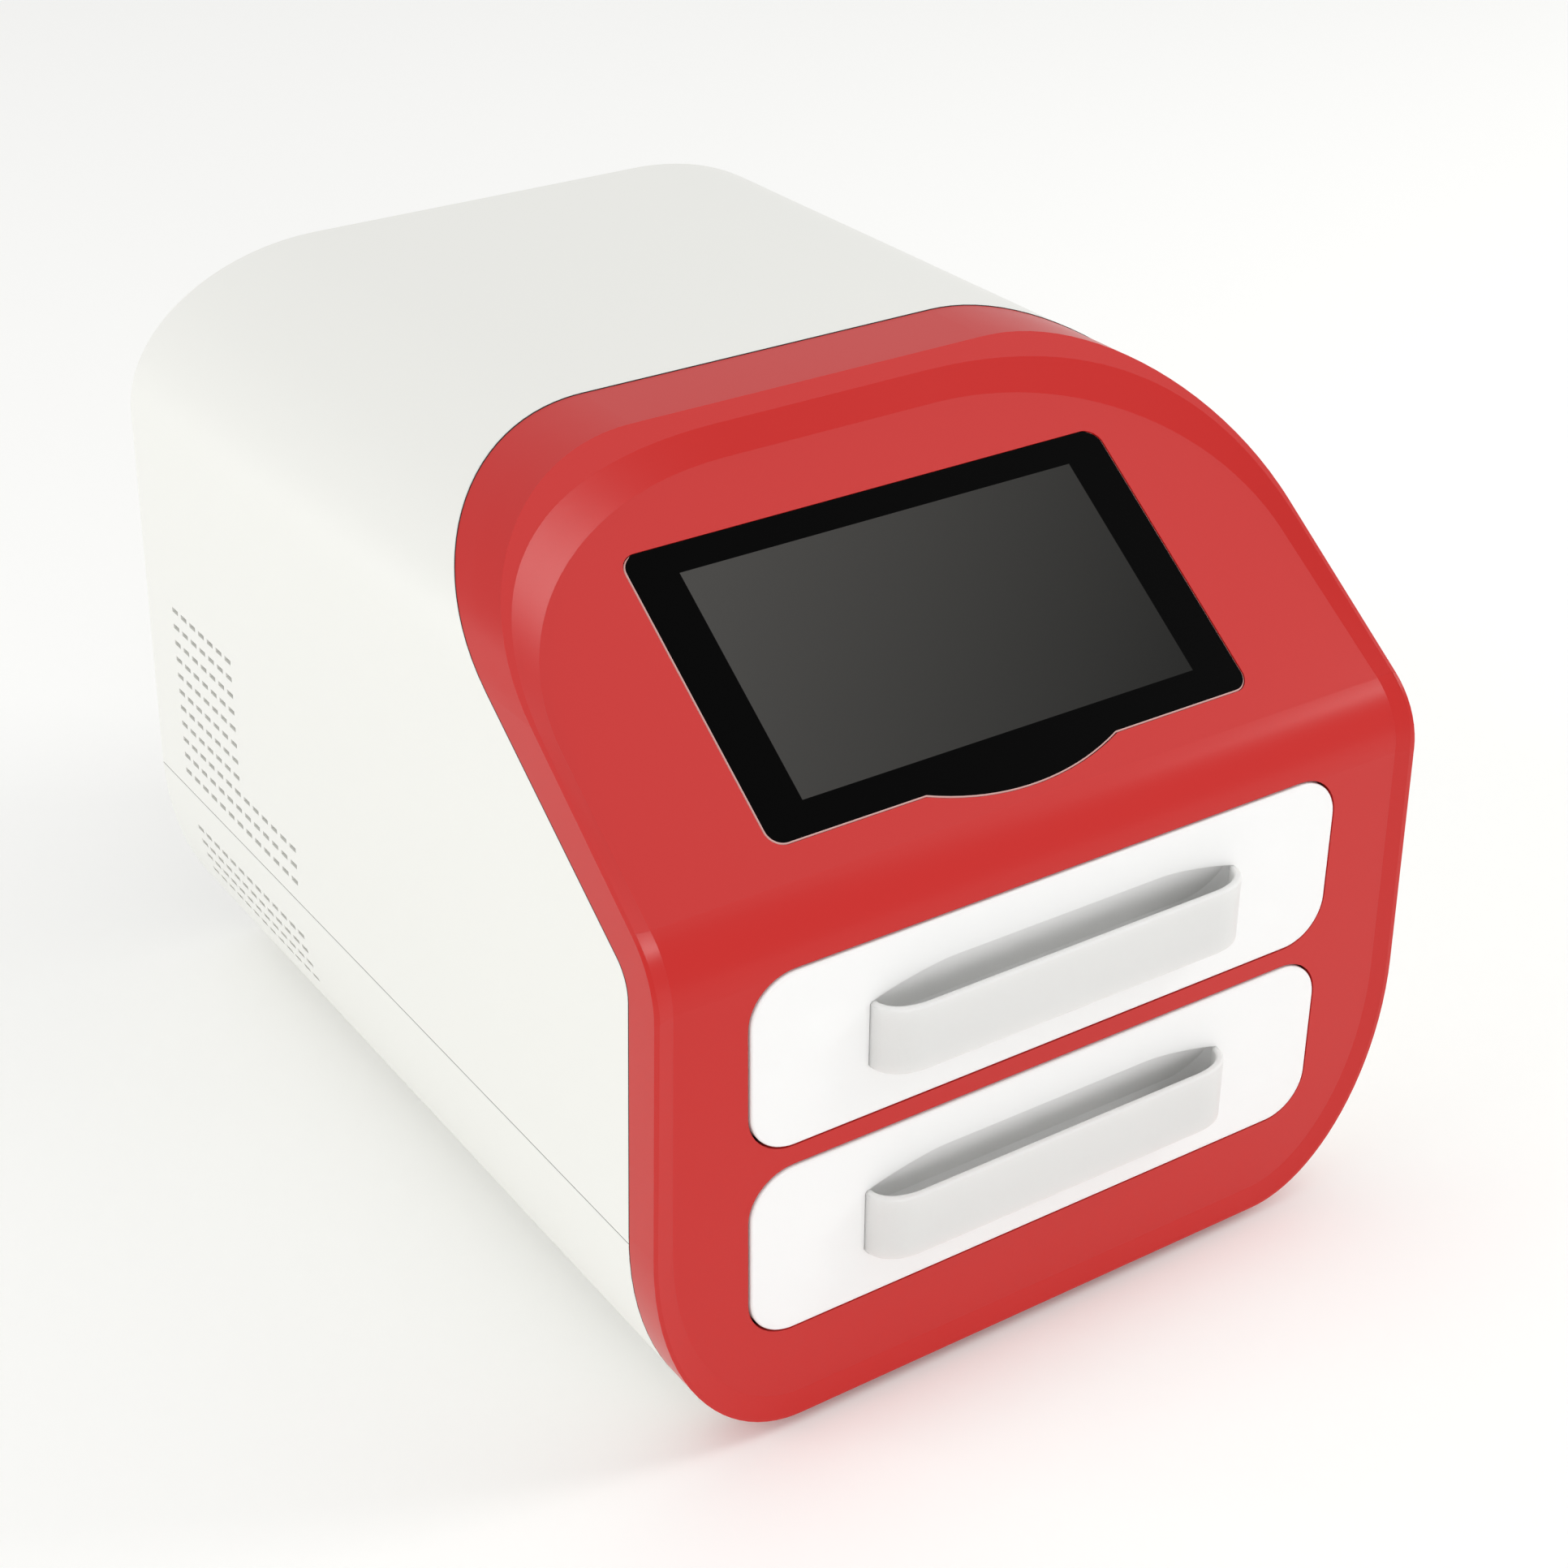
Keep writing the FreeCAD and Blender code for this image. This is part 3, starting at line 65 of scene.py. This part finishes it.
def new_finish(name, colour, roughness, metallic=0.0, ior=None):
    """A material with its shader set, ready for the nodes of its own finish."""
    finish = bpy.data.materials.new(name)
    finish.use_nodes = True
    tree = finish.node_tree
    shader = tree.nodes["Principled BSDF"]
    shader.inputs["Base Color"].default_value = linear(colour)
    shader.inputs["Roughness"].default_value = roughness
    shader.inputs["Metallic"].default_value = metallic
    if ior:
        shader.inputs["IOR"].default_value = ior
    place = add_node(tree, "ShaderNodeTexCoord").outputs["Object"]
    return finish, tree, shader, place


def dress(finish, names):
    """Gives CAD nodes their finish."""
    for name in names:
        nodes[name].data.materials.clear()
        nodes[name].data.materials.append(finish)


rubber, tree, shader, place = new_finish("nitrile_rubber", "#2A2A2A", 0.75, ior=1.52)
grain = add_node(tree, "ShaderNodeTexNoise", {"Scale": 2500.0, "Detail": 3.0}, {"Vector": place})
dust = add_node(tree, "ShaderNodeTexNoise", {"Scale": 90.0}, {"Vector": place})
shade = add_node(tree, "ShaderNodeValToRGB", links={"Fac": dust.outputs["Fac"]})
shade.color_ramp.elements[0].color = linear("#242424")
shade.color_ramp.elements[1].color = linear("#343433")
bump = add_node(tree, "ShaderNodeBump", {"Strength": 0.25, "Distance": 0.0002},
                {"Height": grain.outputs["Fac"]})
tree.links.new(shade.outputs["Color"], shader.inputs["Base Color"])
tree.links.new(bump.outputs["Normal"], shader.inputs["Normal"])
dress(rubber, ["foot_front_left", "foot_front_right", "foot_rear_left", "foot_rear_right",
               "lower_lid_bushes", "upper_lid_bushes"])

# Lower base and upper cover
# Two mouldings in white ABS that meet at a level seam. The mould has a fine
# spark texture, so the skin is satin, with a faint unevenness of the gloss.


def mould_skin(tree, shader, place, grain, strength, dullest, glossiest, patch=0.07):
    """A mould's texture with grains of so many metres, and gloss that drifts over patches."""
    texture = add_node(tree, "ShaderNodeTexNoise", {"Scale": 1 / grain, "Detail": 4.0}, {"Vector": place})
    cloud = add_node(tree, "ShaderNodeTexNoise", {"Scale": 1 / patch, "Detail": 2.0}, {"Vector": place})
    gloss = add_node(tree, "ShaderNodeMapRange", {"To Min": dullest, "To Max": glossiest},
                     {"Value": cloud.outputs["Fac"]})
    bump = add_node(tree, "ShaderNodeBump", {"Strength": strength, "Distance": 0.0001},
                    {"Height": texture.outputs["Fac"]})
    tree.links.new(gloss.outputs["Result"], shader.inputs["Roughness"])
    tree.links.new(bump.outputs["Normal"], shader.inputs["Normal"])


white_abs, tree, shader, place = new_finish("moulded_white_abs", "#EFEFEA", 0.38, ior=1.54)
mould_skin(tree, shader, place, grain=0.0007, strength=0.05, dullest=0.42, glossiest=0.34)
dress(white_abs, ["lower_base", "upper_cover"])

# Chassis and drawer bay
# Folded sheet steel with a bright zinc coat. Zinc shows pale flakes about
# 10 mm across that differ slightly in grey and in gloss.

zinc_sheet, tree, shader, place = new_finish("galvanised_sheet", "#B9BBBD", 0.4, metallic=1.0)
flakes = add_node(tree, "ShaderNodeTexVoronoi", {"Scale": 95.0}, {"Vector": place})
grey = add_node(tree, "ShaderNodeSeparateColor", links={"Color": flakes.outputs["Color"]})
shade = add_node(tree, "ShaderNodeValToRGB", links={"Fac": grey.outputs["Red"]})
shade.color_ramp.elements[0].color = linear("#A9ABAE")
shade.color_ramp.elements[1].color = linear("#C6C8CA")
gloss = add_node(tree, "ShaderNodeMapRange", {"To Min": 0.32, "To Max": 0.5},
                 {"Value": grey.outputs["Green"]})
tree.links.new(shade.outputs["Color"], shader.inputs["Base Color"])
tree.links.new(gloss.outputs["Result"], shader.inputs["Roughness"])
dress(zinc_sheet, ["chassis_plate", "bay_side_left", "bay_side_right", "bay_back",
                   "middle_shelf", "top_shelf"])

# Screws
# Pan-head steel screws with a bright zinc coat, which hold the base, the
# trays, the fan and the rear panel. The wire guard and the data port's
# shell have the same coat.

zinc_screw, tree, shader, place = new_finish("zinc_plated_steel", "#AEB0B4", 0.3, metallic=1.0)
scuffs = add_node(tree, "ShaderNodeTexNoise", {"Scale": 900.0, "Detail": 3.0}, {"Vector": place})
gloss = add_node(tree, "ShaderNodeMapRange", {"To Min": 0.22, "To Max": 0.42},
                 {"Value": scuffs.outputs["Fac"]})
tree.links.new(gloss.outputs["Result"], shader.inputs["Roughness"])
dress(zinc_screw, ["base_screws", "fan_screws", "rear_panel_screws", "lower_drawer_screws",
                   "upper_drawer_screws", "fan_guard", "usb_port"])

# Rails and contact sockets
# Black acetal rails, milled and slightly waxy, and black moulded sockets on
# the bay's back wall that feed the drawers. The fan, the inlet, the switch and
# the other black mouldings share the sockets' plastic.

acetal, tree, shader, place = new_finish("black_acetal", "#2B2B2D", 0.35, ior=1.48)
milling = add_node(tree, "ShaderNodeTexWave", {"bands_direction": "Y", "Scale": 260.0}, {"Vector": place})
bump = add_node(tree, "ShaderNodeBump", {"Strength": 0.12, "Distance": 0.0001},
                {"Height": milling.outputs["Fac"]})
tree.links.new(bump.outputs["Normal"], shader.inputs["Normal"])
dress(acetal, ["lower_left_rail", "lower_right_rail", "upper_left_rail", "upper_right_rail"])

black_moulding, tree, shader, place = new_finish("black_moulded_plastic", "#1E1E20", 0.45, ior=1.57)
mould_skin(tree, shader, place, grain=0.00055, strength=0.15, dullest=0.52, glossiest=0.4, patch=0.01)
dress(black_moulding, ["lower_contact_sockets", "upper_contact_sockets", "board_capacitors",
                       "fan_frame", "fan_rotor", "mains_inlet", "switch_housing", "power_rocker",
                       "fuse_holder"])

# Main board, heat sink and power supply
# Glass-fibre boards under a green mask, on brass spacers, with an extruded
# aluminium heat sink and a closed supply on the top shelf.

board, tree, shader, place = new_finish("green_board_mask", "#1B5A36", 0.35, ior=1.5)
tracks = add_node(tree, "ShaderNodeTexBrick",
                  {"Scale": 160.0, "Color1": linear("#1B5A36"), "Color2": linear("#1F6A40"),
                   "Mortar": linear("#2F8152"), "Mortar Size": 0.03}, {"Vector": place})
tree.links.new(tracks.outputs["Color"], shader.inputs["Base Color"])
dress(board, ["main_board", "display_board"])

aluminium, tree, shader, place = new_finish("anodised_aluminium", "#C9CBCE", 0.32, metallic=1.0)
along = add_node(tree, "ShaderNodeMapping", {"Scale": (1.0, 0.03, 1.0)}, {"Vector": place})
lines = add_node(tree, "ShaderNodeTexNoise", {"Scale": 700.0, "Detail": 2.0},
                 {"Vector": along.outputs["Vector"]})
gloss = add_node(tree, "ShaderNodeMapRange", {"To Min": 0.25, "To Max": 0.42},
                 {"Value": lines.outputs["Fac"]})
tree.links.new(gloss.outputs["Result"], shader.inputs["Roughness"])
dress(aluminium, ["heat_sink", "power_supply"])

brass, tree, shader, place = new_finish("turned_brass", "#D8B25A", 0.28, metallic=1.0)
turning = add_node(tree, "ShaderNodeTexNoise", {"Scale": 1200.0}, {"Vector": place})
gloss = add_node(tree, "ShaderNodeMapRange", {"To Min": 0.2, "To Max": 0.38},
                 {"Value": turning.outputs["Fac"]})
tree.links.new(gloss.outputs["Result"], shader.inputs["Roughness"])
dress(brass, ["board_spacers", "display_spacers", "inlet_pins", "lower_contact_blades",
              "upper_contact_blades"])

# Rear panel
# Steel sheet in a light grey powder coat, which dries to a fine orange peel.

powder_coat, tree, shader, place = new_finish("grey_powder_coat", "#D9D9D7", 0.5, ior=1.5)
peel = add_node(tree, "ShaderNodeTexNoise", {"Scale": 700.0, "Detail": 2.0}, {"Vector": place})
bump = add_node(tree, "ShaderNodeBump", {"Strength": 0.3, "Distance": 0.0002},
                {"Height": peel.outputs["Fac"]})
tree.links.new(bump.outputs["Normal"], shader.inputs["Normal"])
dress(powder_coat, ["rear_panel"])

# Front bezel
# One moulding in red ABS with a satin sheen: a ring, a shallow recess and a
# face that bends back to carry the display.

red_abs, tree, shader, place = new_finish("moulded_red_abs", "#C4221E", 0.3, ior=1.54)
shader.inputs["Specular IOR Level"].default_value = 0.28
mould_skin(tree, shader, place, grain=0.0006, strength=0.04, dullest=0.31, glossiest=0.27)
dress(red_abs, ["front_bezel"])

# Painted shade in the gaps
# Thin black strips, with the cells of foam rubber, sit between the bezel and the white shell
# and along the seam as painted shade for these gaps. Only their edge shows, as a fine dark line.

# Painted shade: a black material that darkens the gaps as their shade would.
shade_gap_black, tree, shader, place = new_finish("painted_shade_foam", "#1C1B1B", 0.85, ior=1.5)
cells = add_node(tree, "ShaderNodeTexVoronoi", {"Scale": 2600.0}, {"Vector": place})
shade = add_node(tree, "ShaderNodeValToRGB", links={"Fac": cells.outputs["Distance"]})
shade.color_ramp.elements[0].color = linear("#151414")
shade.color_ramp.elements[1].color = linear("#262424")
tree.links.new(shade.outputs["Color"], shader.inputs["Base Color"])

display_tilt = math.radians(34.6)
slope_out = Vector((0.0, -math.sin(display_tilt), math.cos(display_tilt)))
ring_back = -0.1664                     # where the upright part of the bezel ends at the rear
slope_back = 0.2473                     # where its sloping part ends, measured along slope_out
slack = 0.0006
facing = 0.4                            # least share of a face's normal that points to the rear
weld = 0.000001
shade_shell_thick = 0.0005
proud_across, proud_up = 1.00003, 1.0003    # across hardly at all, to stay within the housing's width
proud_centre = (0, 0, 0.15)
crease = math.radians(32)

# Painted shade behind the bezel: a thin black shell made from the bezel's rear faces fills its gap to the
# white shell.
bpy.ops.object.select_all(action="DESELECT")
bezel_shade_shell = bpy.data.objects.new("bezel_painted_shade", nodes["front_bezel"].data.copy())
bpy.context.scene.collection.objects.link(bezel_shade_shell)
bezel_shade_shell.select_set(True)
bpy.context.view_layer.objects.active = bezel_shade_shell
bpy.ops.object.mode_set(mode="EDIT")
bpy.ops.mesh.select_mode(type="FACE")
bpy.ops.mesh.select_all(action="SELECT")
bpy.ops.mesh.customdata_custom_splitnormals_clear()
bpy.ops.mesh.remove_doubles(threshold=weld)
bpy.ops.mesh.select_all(action="DESELECT")
shell = bmesh.from_edit_mesh(bezel_shade_shell.data)
for face in shell.faces:
    behind = all(v.co.y > ring_back - slack and v.co.dot(slope_out) < slope_back + slack
                 for v in face.verts)
    faces_back = face.normal.y > facing and face.normal.dot(slope_out) < -facing
    face.select_set(not (behind and faces_back))
bmesh.update_edit_mesh(bezel_shade_shell.data)
bpy.ops.mesh.delete(type="FACE")
bpy.ops.mesh.select_all(action="SELECT")
bpy.ops.transform.resize(value=(proud_across, 1.0, proud_up), center_override=proud_centre)
bpy.ops.object.mode_set(mode="OBJECT")
bpy.ops.object.modifier_add(type="SOLIDIFY")
bezel_shade_shell.modifiers[-1].thickness = shade_shell_thick
bezel_shade_shell.modifiers[-1].offset = 0.0
bpy.ops.object.modifier_apply(modifier=bezel_shade_shell.modifiers[-1].name)
bpy.ops.object.shade_smooth_by_angle(angle=crease)
bezel_shade_shell.data.materials.clear()
bezel_shade_shell.data.materials.append(shade_gap_black)
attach(bezel_shade_shell, "housing")

seam_low, seam_high = 0.0891, 0.0895
seam_front, seam_rear = -0.1662, 0.1909
seam_in, seam_out = 0.1506, 0.1523
seam_edge = 0.00006
# Painted shade along the seam: a thin black strip in the seam's gap on each side.
for side, sign in (("left", -1), ("right", 1)):
    bpy.ops.object.select_all(action="DESELECT")
    middle = (sign * (seam_in + seam_out) / 2, (seam_front + seam_rear) / 2,
              (seam_low + seam_high) / 2)
    bpy.ops.mesh.primitive_cube_add(size=1.0, location=middle)
    strip = bpy.context.object
    strip.name = "seam_painted_shade_" + side
    strip.scale = (seam_out - seam_in, seam_rear - seam_front, seam_high - seam_low)
    bpy.ops.object.transform_apply(location=True, rotation=True, scale=True)
    bpy.ops.object.mode_set(mode="EDIT")
    bpy.ops.mesh.select_all(action="SELECT")
    bpy.ops.mesh.bevel(offset=seam_edge, segments=1, affect="EDGES")
    bpy.ops.object.mode_set(mode="OBJECT")
    strip.data.materials.append(shade_gap_black)
    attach(strip, "housing")

# Display
# A cover glass, etched against glare, with a black border printed behind it
# and the unlit panel painted dark grey in its window, under a painted sheen.

window_foot = (0.0, -0.1479, 0.2143)    # middle of the window's lower edge
window_half, window_height = 0.0771, 0.0842
# Painted sheen: the window's grey is painted palest at the top left, and darker along this run.
painted_sheen_run = (1.0, -0.9, 0.0)            # the panel is palest at the top left, and darkens this way
painted_sheen_start, painted_sheen_end = -0.153, 0.077
glass, tree, shader, place = new_finish("etched_cover_glass_painted_sheen", "#030303", 0.4, ior=1.5)
shader.inputs["Specular IOR Level"].default_value = 0.02
flat = add_node(tree, "ShaderNodeMapping", {"vector_type": "TEXTURE", "Location": window_foot,
                                            "Rotation": (display_tilt, 0.0, 0.0)}, {"Vector": place})
across = add_node(tree, "ShaderNodeSeparateXYZ", links={"Vector": flat.outputs["Vector"]})
side = add_node(tree, "ShaderNodeMath", {"operation": "ABSOLUTE"}, {0: across.outputs["X"]})
in_side = add_node(tree, "ShaderNodeMath", {"operation": "LESS_THAN", 1: window_half},
                   {0: side.outputs[0]})
over = add_node(tree, "ShaderNodeMath", {"operation": "GREATER_THAN", 1: 0.0}, {0: across.outputs["Y"]})
under = add_node(tree, "ShaderNodeMath", {"operation": "LESS_THAN", 1: window_height},
                 {0: across.outputs["Y"]})
level = add_node(tree, "ShaderNodeMath", {"operation": "MULTIPLY"},
                 {0: over.outputs[0], 1: under.outputs[0]})
window = add_node(tree, "ShaderNodeMath", {"operation": "MULTIPLY"},
                  {0: in_side.outputs[0], 1: level.outputs[0]})
run = add_node(tree, "ShaderNodeVectorMath", {"operation": "DOT_PRODUCT", 1: painted_sheen_run},
               {0: flat.outputs["Vector"]})
sheen = add_node(tree, "ShaderNodeMapRange", {"From Min": painted_sheen_start, "From Max": painted_sheen_end},
                 {"Value": run.outputs["Value"]})
# Painted sheen: the paler grey at the top left, the darker grey at the run's far end.
grey = add_node(tree, "ShaderNodeValToRGB", links={"Fac": sheen.outputs["Result"]})
grey.color_ramp.elements[0].color = linear("#4A4947")
grey.color_ramp.elements[1].color = linear("#272726")
print_edge = add_node(tree, "ShaderNodeMix", {"data_type": "RGBA", 6: linear("#030303")},
                      {0: window.outputs[0], 7: grey.outputs["Color"]})
tree.links.new(print_edge.outputs[2], shader.inputs["Base Color"])

sharp_fold = 45                         # degrees from which an edge is rounded
flat_enough = math.radians(0.3)


def turn_of(edge):
    """How far a mesh folds at an edge, in degrees: positive outwards, 0 on an open edge."""
    return math.degrees(edge.calc_face_angle_signed()) if len(edge.link_faces) == 2 else 0.0


def softened(name, title, rounds, finishes, body):
    """A merged copy of a CAD node with its chosen edges rounded, in the last of its finishes."""
    bpy.ops.object.select_all(action="DESELECT")
    piece = bpy.data.objects.new(title, nodes[name].data.copy())
    bpy.context.scene.collection.objects.link(piece)
    piece.data.materials.clear()
    for finish in finishes:
        piece.data.materials.append(finish)
    piece.select_set(True)
    bpy.context.view_layer.objects.active = piece
    bpy.ops.object.mode_set(mode="EDIT")
    bpy.ops.mesh.select_mode(type="EDGE")
    bpy.ops.mesh.select_all(action="SELECT")
    bpy.ops.mesh.customdata_custom_splitnormals_clear()
    bpy.ops.mesh.remove_doubles(threshold=weld)
    bpy.ops.mesh.dissolve_limited(angle_limit=flat_enough)
    for chosen, radius, steps in rounds:
        bpy.ops.mesh.select_all(action="DESELECT")
        shell = bmesh.from_edit_mesh(piece.data)
        for edge in shell.edges:
            if chosen(edge):
                edge.select_set(True)
        bmesh.update_edit_mesh(piece.data)
        bpy.ops.mesh.bevel(offset=radius, segments=steps, affect="EDGES", clamp_overlap=False,
                           material=len(finishes) - 1)
    bpy.ops.object.mode_set(mode="OBJECT")
    bpy.ops.object.shade_smooth_by_angle(angle=crease)
    bpy.ops.object.modifier_add(type="WEIGHTED_NORMAL")
    piece.modifiers[-1].keep_sharp = True
    bpy.ops.object.modifier_apply(modifier=piece.modifiers[-1].name)
    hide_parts(name)
    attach(piece, body)


def glass_rim(edge):
    """The ground edge round the front of the glass."""
    return turn_of(edge) > sharp_fold and [face.normal.z > 0.5 for face in edge.link_faces].count(True) == 1


# The glass's chamfer is painted pale pink: partly the ground edge's own pallor, partly a painted highlight
# with a painted reflection of the red bezel.
edge_with_painted_highlight, tree, shader, place = new_finish("ground_glass_edge_painted_highlight", "#DDB6B0", 0.5, ior=1.5)
grit = add_node(tree, "ShaderNodeTexNoise", {"Scale": 3000.0}, {"Vector": place})
gloss = add_node(tree, "ShaderNodeMapRange", {"To Min": 0.4, "To Max": 0.6}, {"Value": grit.outputs["Fac"]})
tree.links.new(gloss.outputs["Result"], shader.inputs["Roughness"])
glass_chamfer = 0.00045
softened("display_glass", "cover_glass", [(glass_rim, glass_chamfer, 1)], [glass, edge_with_painted_highlight],
         "housing")

pixel_pitch = 0.00015
panel, tree, shader, place = new_finish("unlit_panel", "#3A3A39", 0.4, ior=1.5)
pixels = add_node(tree, "ShaderNodeTexChecker", {"Color1": linear("#3D3D3C"), "Color2": linear("#363635"),
                                                 "Scale": 1 / pixel_pitch}, {"Vector": place})
tree.links.new(pixels.outputs["Color"], shader.inputs["Base Color"])
dress(panel, ["lcd_module"])

# Drawers
# White gloss faces with a cup pull, light grey trays, and the plates, lids
# and blades that ride in them.

gloss_white, tree, shader, place = new_finish("gloss_white_abs", "#FCFCFB", 0.3, ior=1.54)
shader.inputs["Subsurface Weight"].default_value = 0.4
shader.inputs["Subsurface Radius"].default_value = (1.0, 1.0, 1.0)
shader.inputs["Subsurface Scale"].default_value = 0.005
mould_skin(tree, shader, place, grain=0.002, strength=0.03, dullest=0.33, glossiest=0.27)
dress(gloss_white, ["lower_drawer_front", "upper_drawer_front"])

pull_start = -0.1802                    # only what stands out in front of the drawer's face is rounded
pull_round = 0.0009
# Painted shade: the pull is given a greyer white than the drawer's face, for the darker look of its front;
# its satin gloss and translucency are the moulding's own.
shaded_satin_white, tree, shader, place = new_finish("satin_white_abs_painted_shade", "#DEDEDC", 0.35, ior=1.54)
shader.inputs["Subsurface Weight"].default_value = 0.8
shader.inputs["Subsurface Radius"].default_value = (1.0, 1.0, 1.0)
shader.inputs["Subsurface Scale"].default_value = 0.008
mould_skin(tree, shader, place, grain=0.0008, strength=0.04, dullest=0.4, glossiest=0.32)


def pull_rim(edge):
    """The free edges of the pull."""
    spot = (edge.verts[0].co + edge.verts[1].co) / 2
    return turn_of(edge) > sharp_fold and spot.y < pull_start


for name, body in (("lower", "lower_drawer"), ("upper", "upper_drawer")):
    softened(name + "_drawer_pull", name + "_cup_pull", [(pull_rim, pull_round, 3)], [shaded_satin_white],
             body)

tray_grey, tree, shader, place = new_finish("grey_moulded_tray", "#D4D8DA", 0.42, ior=1.54)
flow = add_node(tree, "ShaderNodeTexNoise", {"Scale": 22.0, "Detail": 3.0, "Distortion": 0.6},
                {"Vector": place})
shade = add_node(tree, "ShaderNodeValToRGB", links={"Fac": flow.outputs["Fac"]})
shade.color_ramp.elements[0].color = linear("#D0D4D6")
shade.color_ramp.elements[1].color = linear("#D8DCDE")
tree.links.new(shade.outputs["Color"], shader.inputs["Base Color"])
mould_skin(tree, shader, place, grain=0.0009, strength=0.1, dullest=0.48, glossiest=0.38, patch=0.04)
dress(tray_grey, ["lower_tray", "upper_tray", "lower_cassette_lid", "upper_cassette_lid"])

steel, tree, shader, place = new_finish("brushed_stainless", "#BFC0C2", 0.3, metallic=1.0)
across = add_node(tree, "ShaderNodeMapping", {"Scale": (0.02, 1.0, 1.0)}, {"Vector": place})
strokes = add_node(tree, "ShaderNodeTexNoise", {"Scale": 1800.0, "Detail": 3.0},
                   {"Vector": across.outputs["Vector"]})
shade = add_node(tree, "ShaderNodeValToRGB", links={"Fac": strokes.outputs["Fac"]})
shade.color_ramp.elements[0].color = linear("#B2B3B6")
shade.color_ramp.elements[1].color = linear("#CBCCCD")
gloss = add_node(tree, "ShaderNodeMapRange", {"To Min": 0.24, "To Max": 0.4},
                 {"Value": strokes.outputs["Fac"]})
bump = add_node(tree, "ShaderNodeBump", {"Strength": 0.1, "Distance": 0.00005},
                {"Height": strokes.outputs["Fac"]})
tree.links.new(shade.outputs["Color"], shader.inputs["Base Color"])
tree.links.new(gloss.outputs["Result"], shader.inputs["Roughness"])
tree.links.new(bump.outputs["Normal"], shader.inputs["Normal"])
dress(steel, ["lower_cathode_plate", "upper_cathode_plate"])

titanium, tree, shader, place = new_finish("coated_titanium", "#8F9094", 0.45, metallic=1.0)
speckle = add_node(tree, "ShaderNodeTexNoise", {"Scale": 1100.0, "Detail": 5.0, "Roughness": 0.7},
                   {"Vector": place})
shade = add_node(tree, "ShaderNodeValToRGB", links={"Fac": speckle.outputs["Fac"]})
shade.color_ramp.elements[0].color = linear("#85868A")
shade.color_ramp.elements[1].color = linear("#9B9CA0")
bump = add_node(tree, "ShaderNodeBump", {"Strength": 0.2, "Distance": 0.0001},
                {"Height": speckle.outputs["Fac"]})
tree.links.new(shade.outputs["Color"], shader.inputs["Base Color"])
tree.links.new(bump.outputs["Normal"], shader.inputs["Normal"])
dress(titanium, ["lower_anode_plate", "upper_anode_plate"])

# Floor, light and camera
# A pale seamless floor under broad, soft studio light.

bpy.ops.mesh.primitive_plane_add(size=40.0, location=(0, 0, 0))
floor = bpy.context.object
floor.name = "floor"
floor_paper, tree, shader, place = new_finish("floor_paper", "#FCFCFA", 0.7)
shader.inputs["Specular IOR Level"].default_value = 0.15
floor_lift = 0.06                       # a little light of its own, so that the paper reads white
lift = add_node(tree, "ShaderNodeEmission", {"Color": (1, 1, 0.99, 1)})
path = add_node(tree, "ShaderNodeLightPath")
seen = add_node(tree, "ShaderNodeMath", {"operation": "MAXIMUM"},
                {0: path.outputs["Is Camera Ray"], 1: path.outputs["Is Glossy Ray"]})
seen = add_node(tree, "ShaderNodeMath", {"operation": "MAXIMUM"},
                {0: seen.outputs[0], 1: path.outputs["Is Transmission Ray"]})
share = add_node(tree, "ShaderNodeMath", {"operation": "MULTIPLY", 1: floor_lift}, {0: seen.outputs[0]})
tree.links.new(share.outputs[0], lift.inputs["Strength"])
both = add_node(tree, "ShaderNodeAddShader", links={0: shader.outputs["BSDF"], 1: lift.outputs["Emission"]})
tree.links.new(both.outputs["Shader"], tree.nodes["Material Output"].inputs["Surface"])
floor.data.materials.append(floor_paper)

world = bpy.data.worlds.new("studio")
bpy.context.scene.world = world
world.use_nodes = True
background = world.node_tree.nodes["Background"]
background.inputs["Color"].default_value = (1, 1, 1, 1)
background.inputs["Strength"].default_value = 0.73

lamp_aim = (0, 0, 0.15)


def softbox(name, place, width, height, watts):
    """A broad area lamp at a place, turned to the instrument's middle."""
    bpy.ops.object.light_add(type="AREA", location=place)
    lamp = bpy.context.object
    lamp.name = name
    lamp.data.shape = "RECTANGLE"
    lamp.data.size = width
    lamp.data.size_y = height
    lamp.data.energy = watts
    lamp.rotation_euler = (Vector(lamp_aim) - Vector(place)).to_track_quat("-Z", "Y").to_euler()


softbox("front_softbox", (-0.9, -2.8, 0.7), width=1.6, height=1.2, watts=13.5)
softbox("left_softbox", (-2.7, 0.2, 2.0), width=1.4, height=1.2, watts=13)
softbox("top_softbox", (1.1, -0.5, 2.3), width=1.2, height=1.2, watts=4)
softbox("rear_softbox", (-2.4, 1.7, 0.4), width=0.5, height=0.5, watts=9)
softbox("right_softbox", (1.8, -0.9, 1.4), width=0.6, height=0.6, watts=9)
softbox("right_low_softbox", (2.3, 0.1, 0.5), width=0.8, height=0.8, watts=3)

camera_place = (-0.50297, -0.77406, 0.65828)
camera_turn = (59.9263, -0.3267, -33.6049)
camera_lens, sensor_width = 66.668, 36.0
bpy.ops.object.camera_add(location=camera_place, rotation=[math.radians(a) for a in camera_turn])
camera = bpy.context.object
camera.data.lens = camera_lens
camera.data.sensor_width = sensor_width
bpy.context.scene.camera = camera
bpy.context.scene.view_settings.view_transform = "Standard"
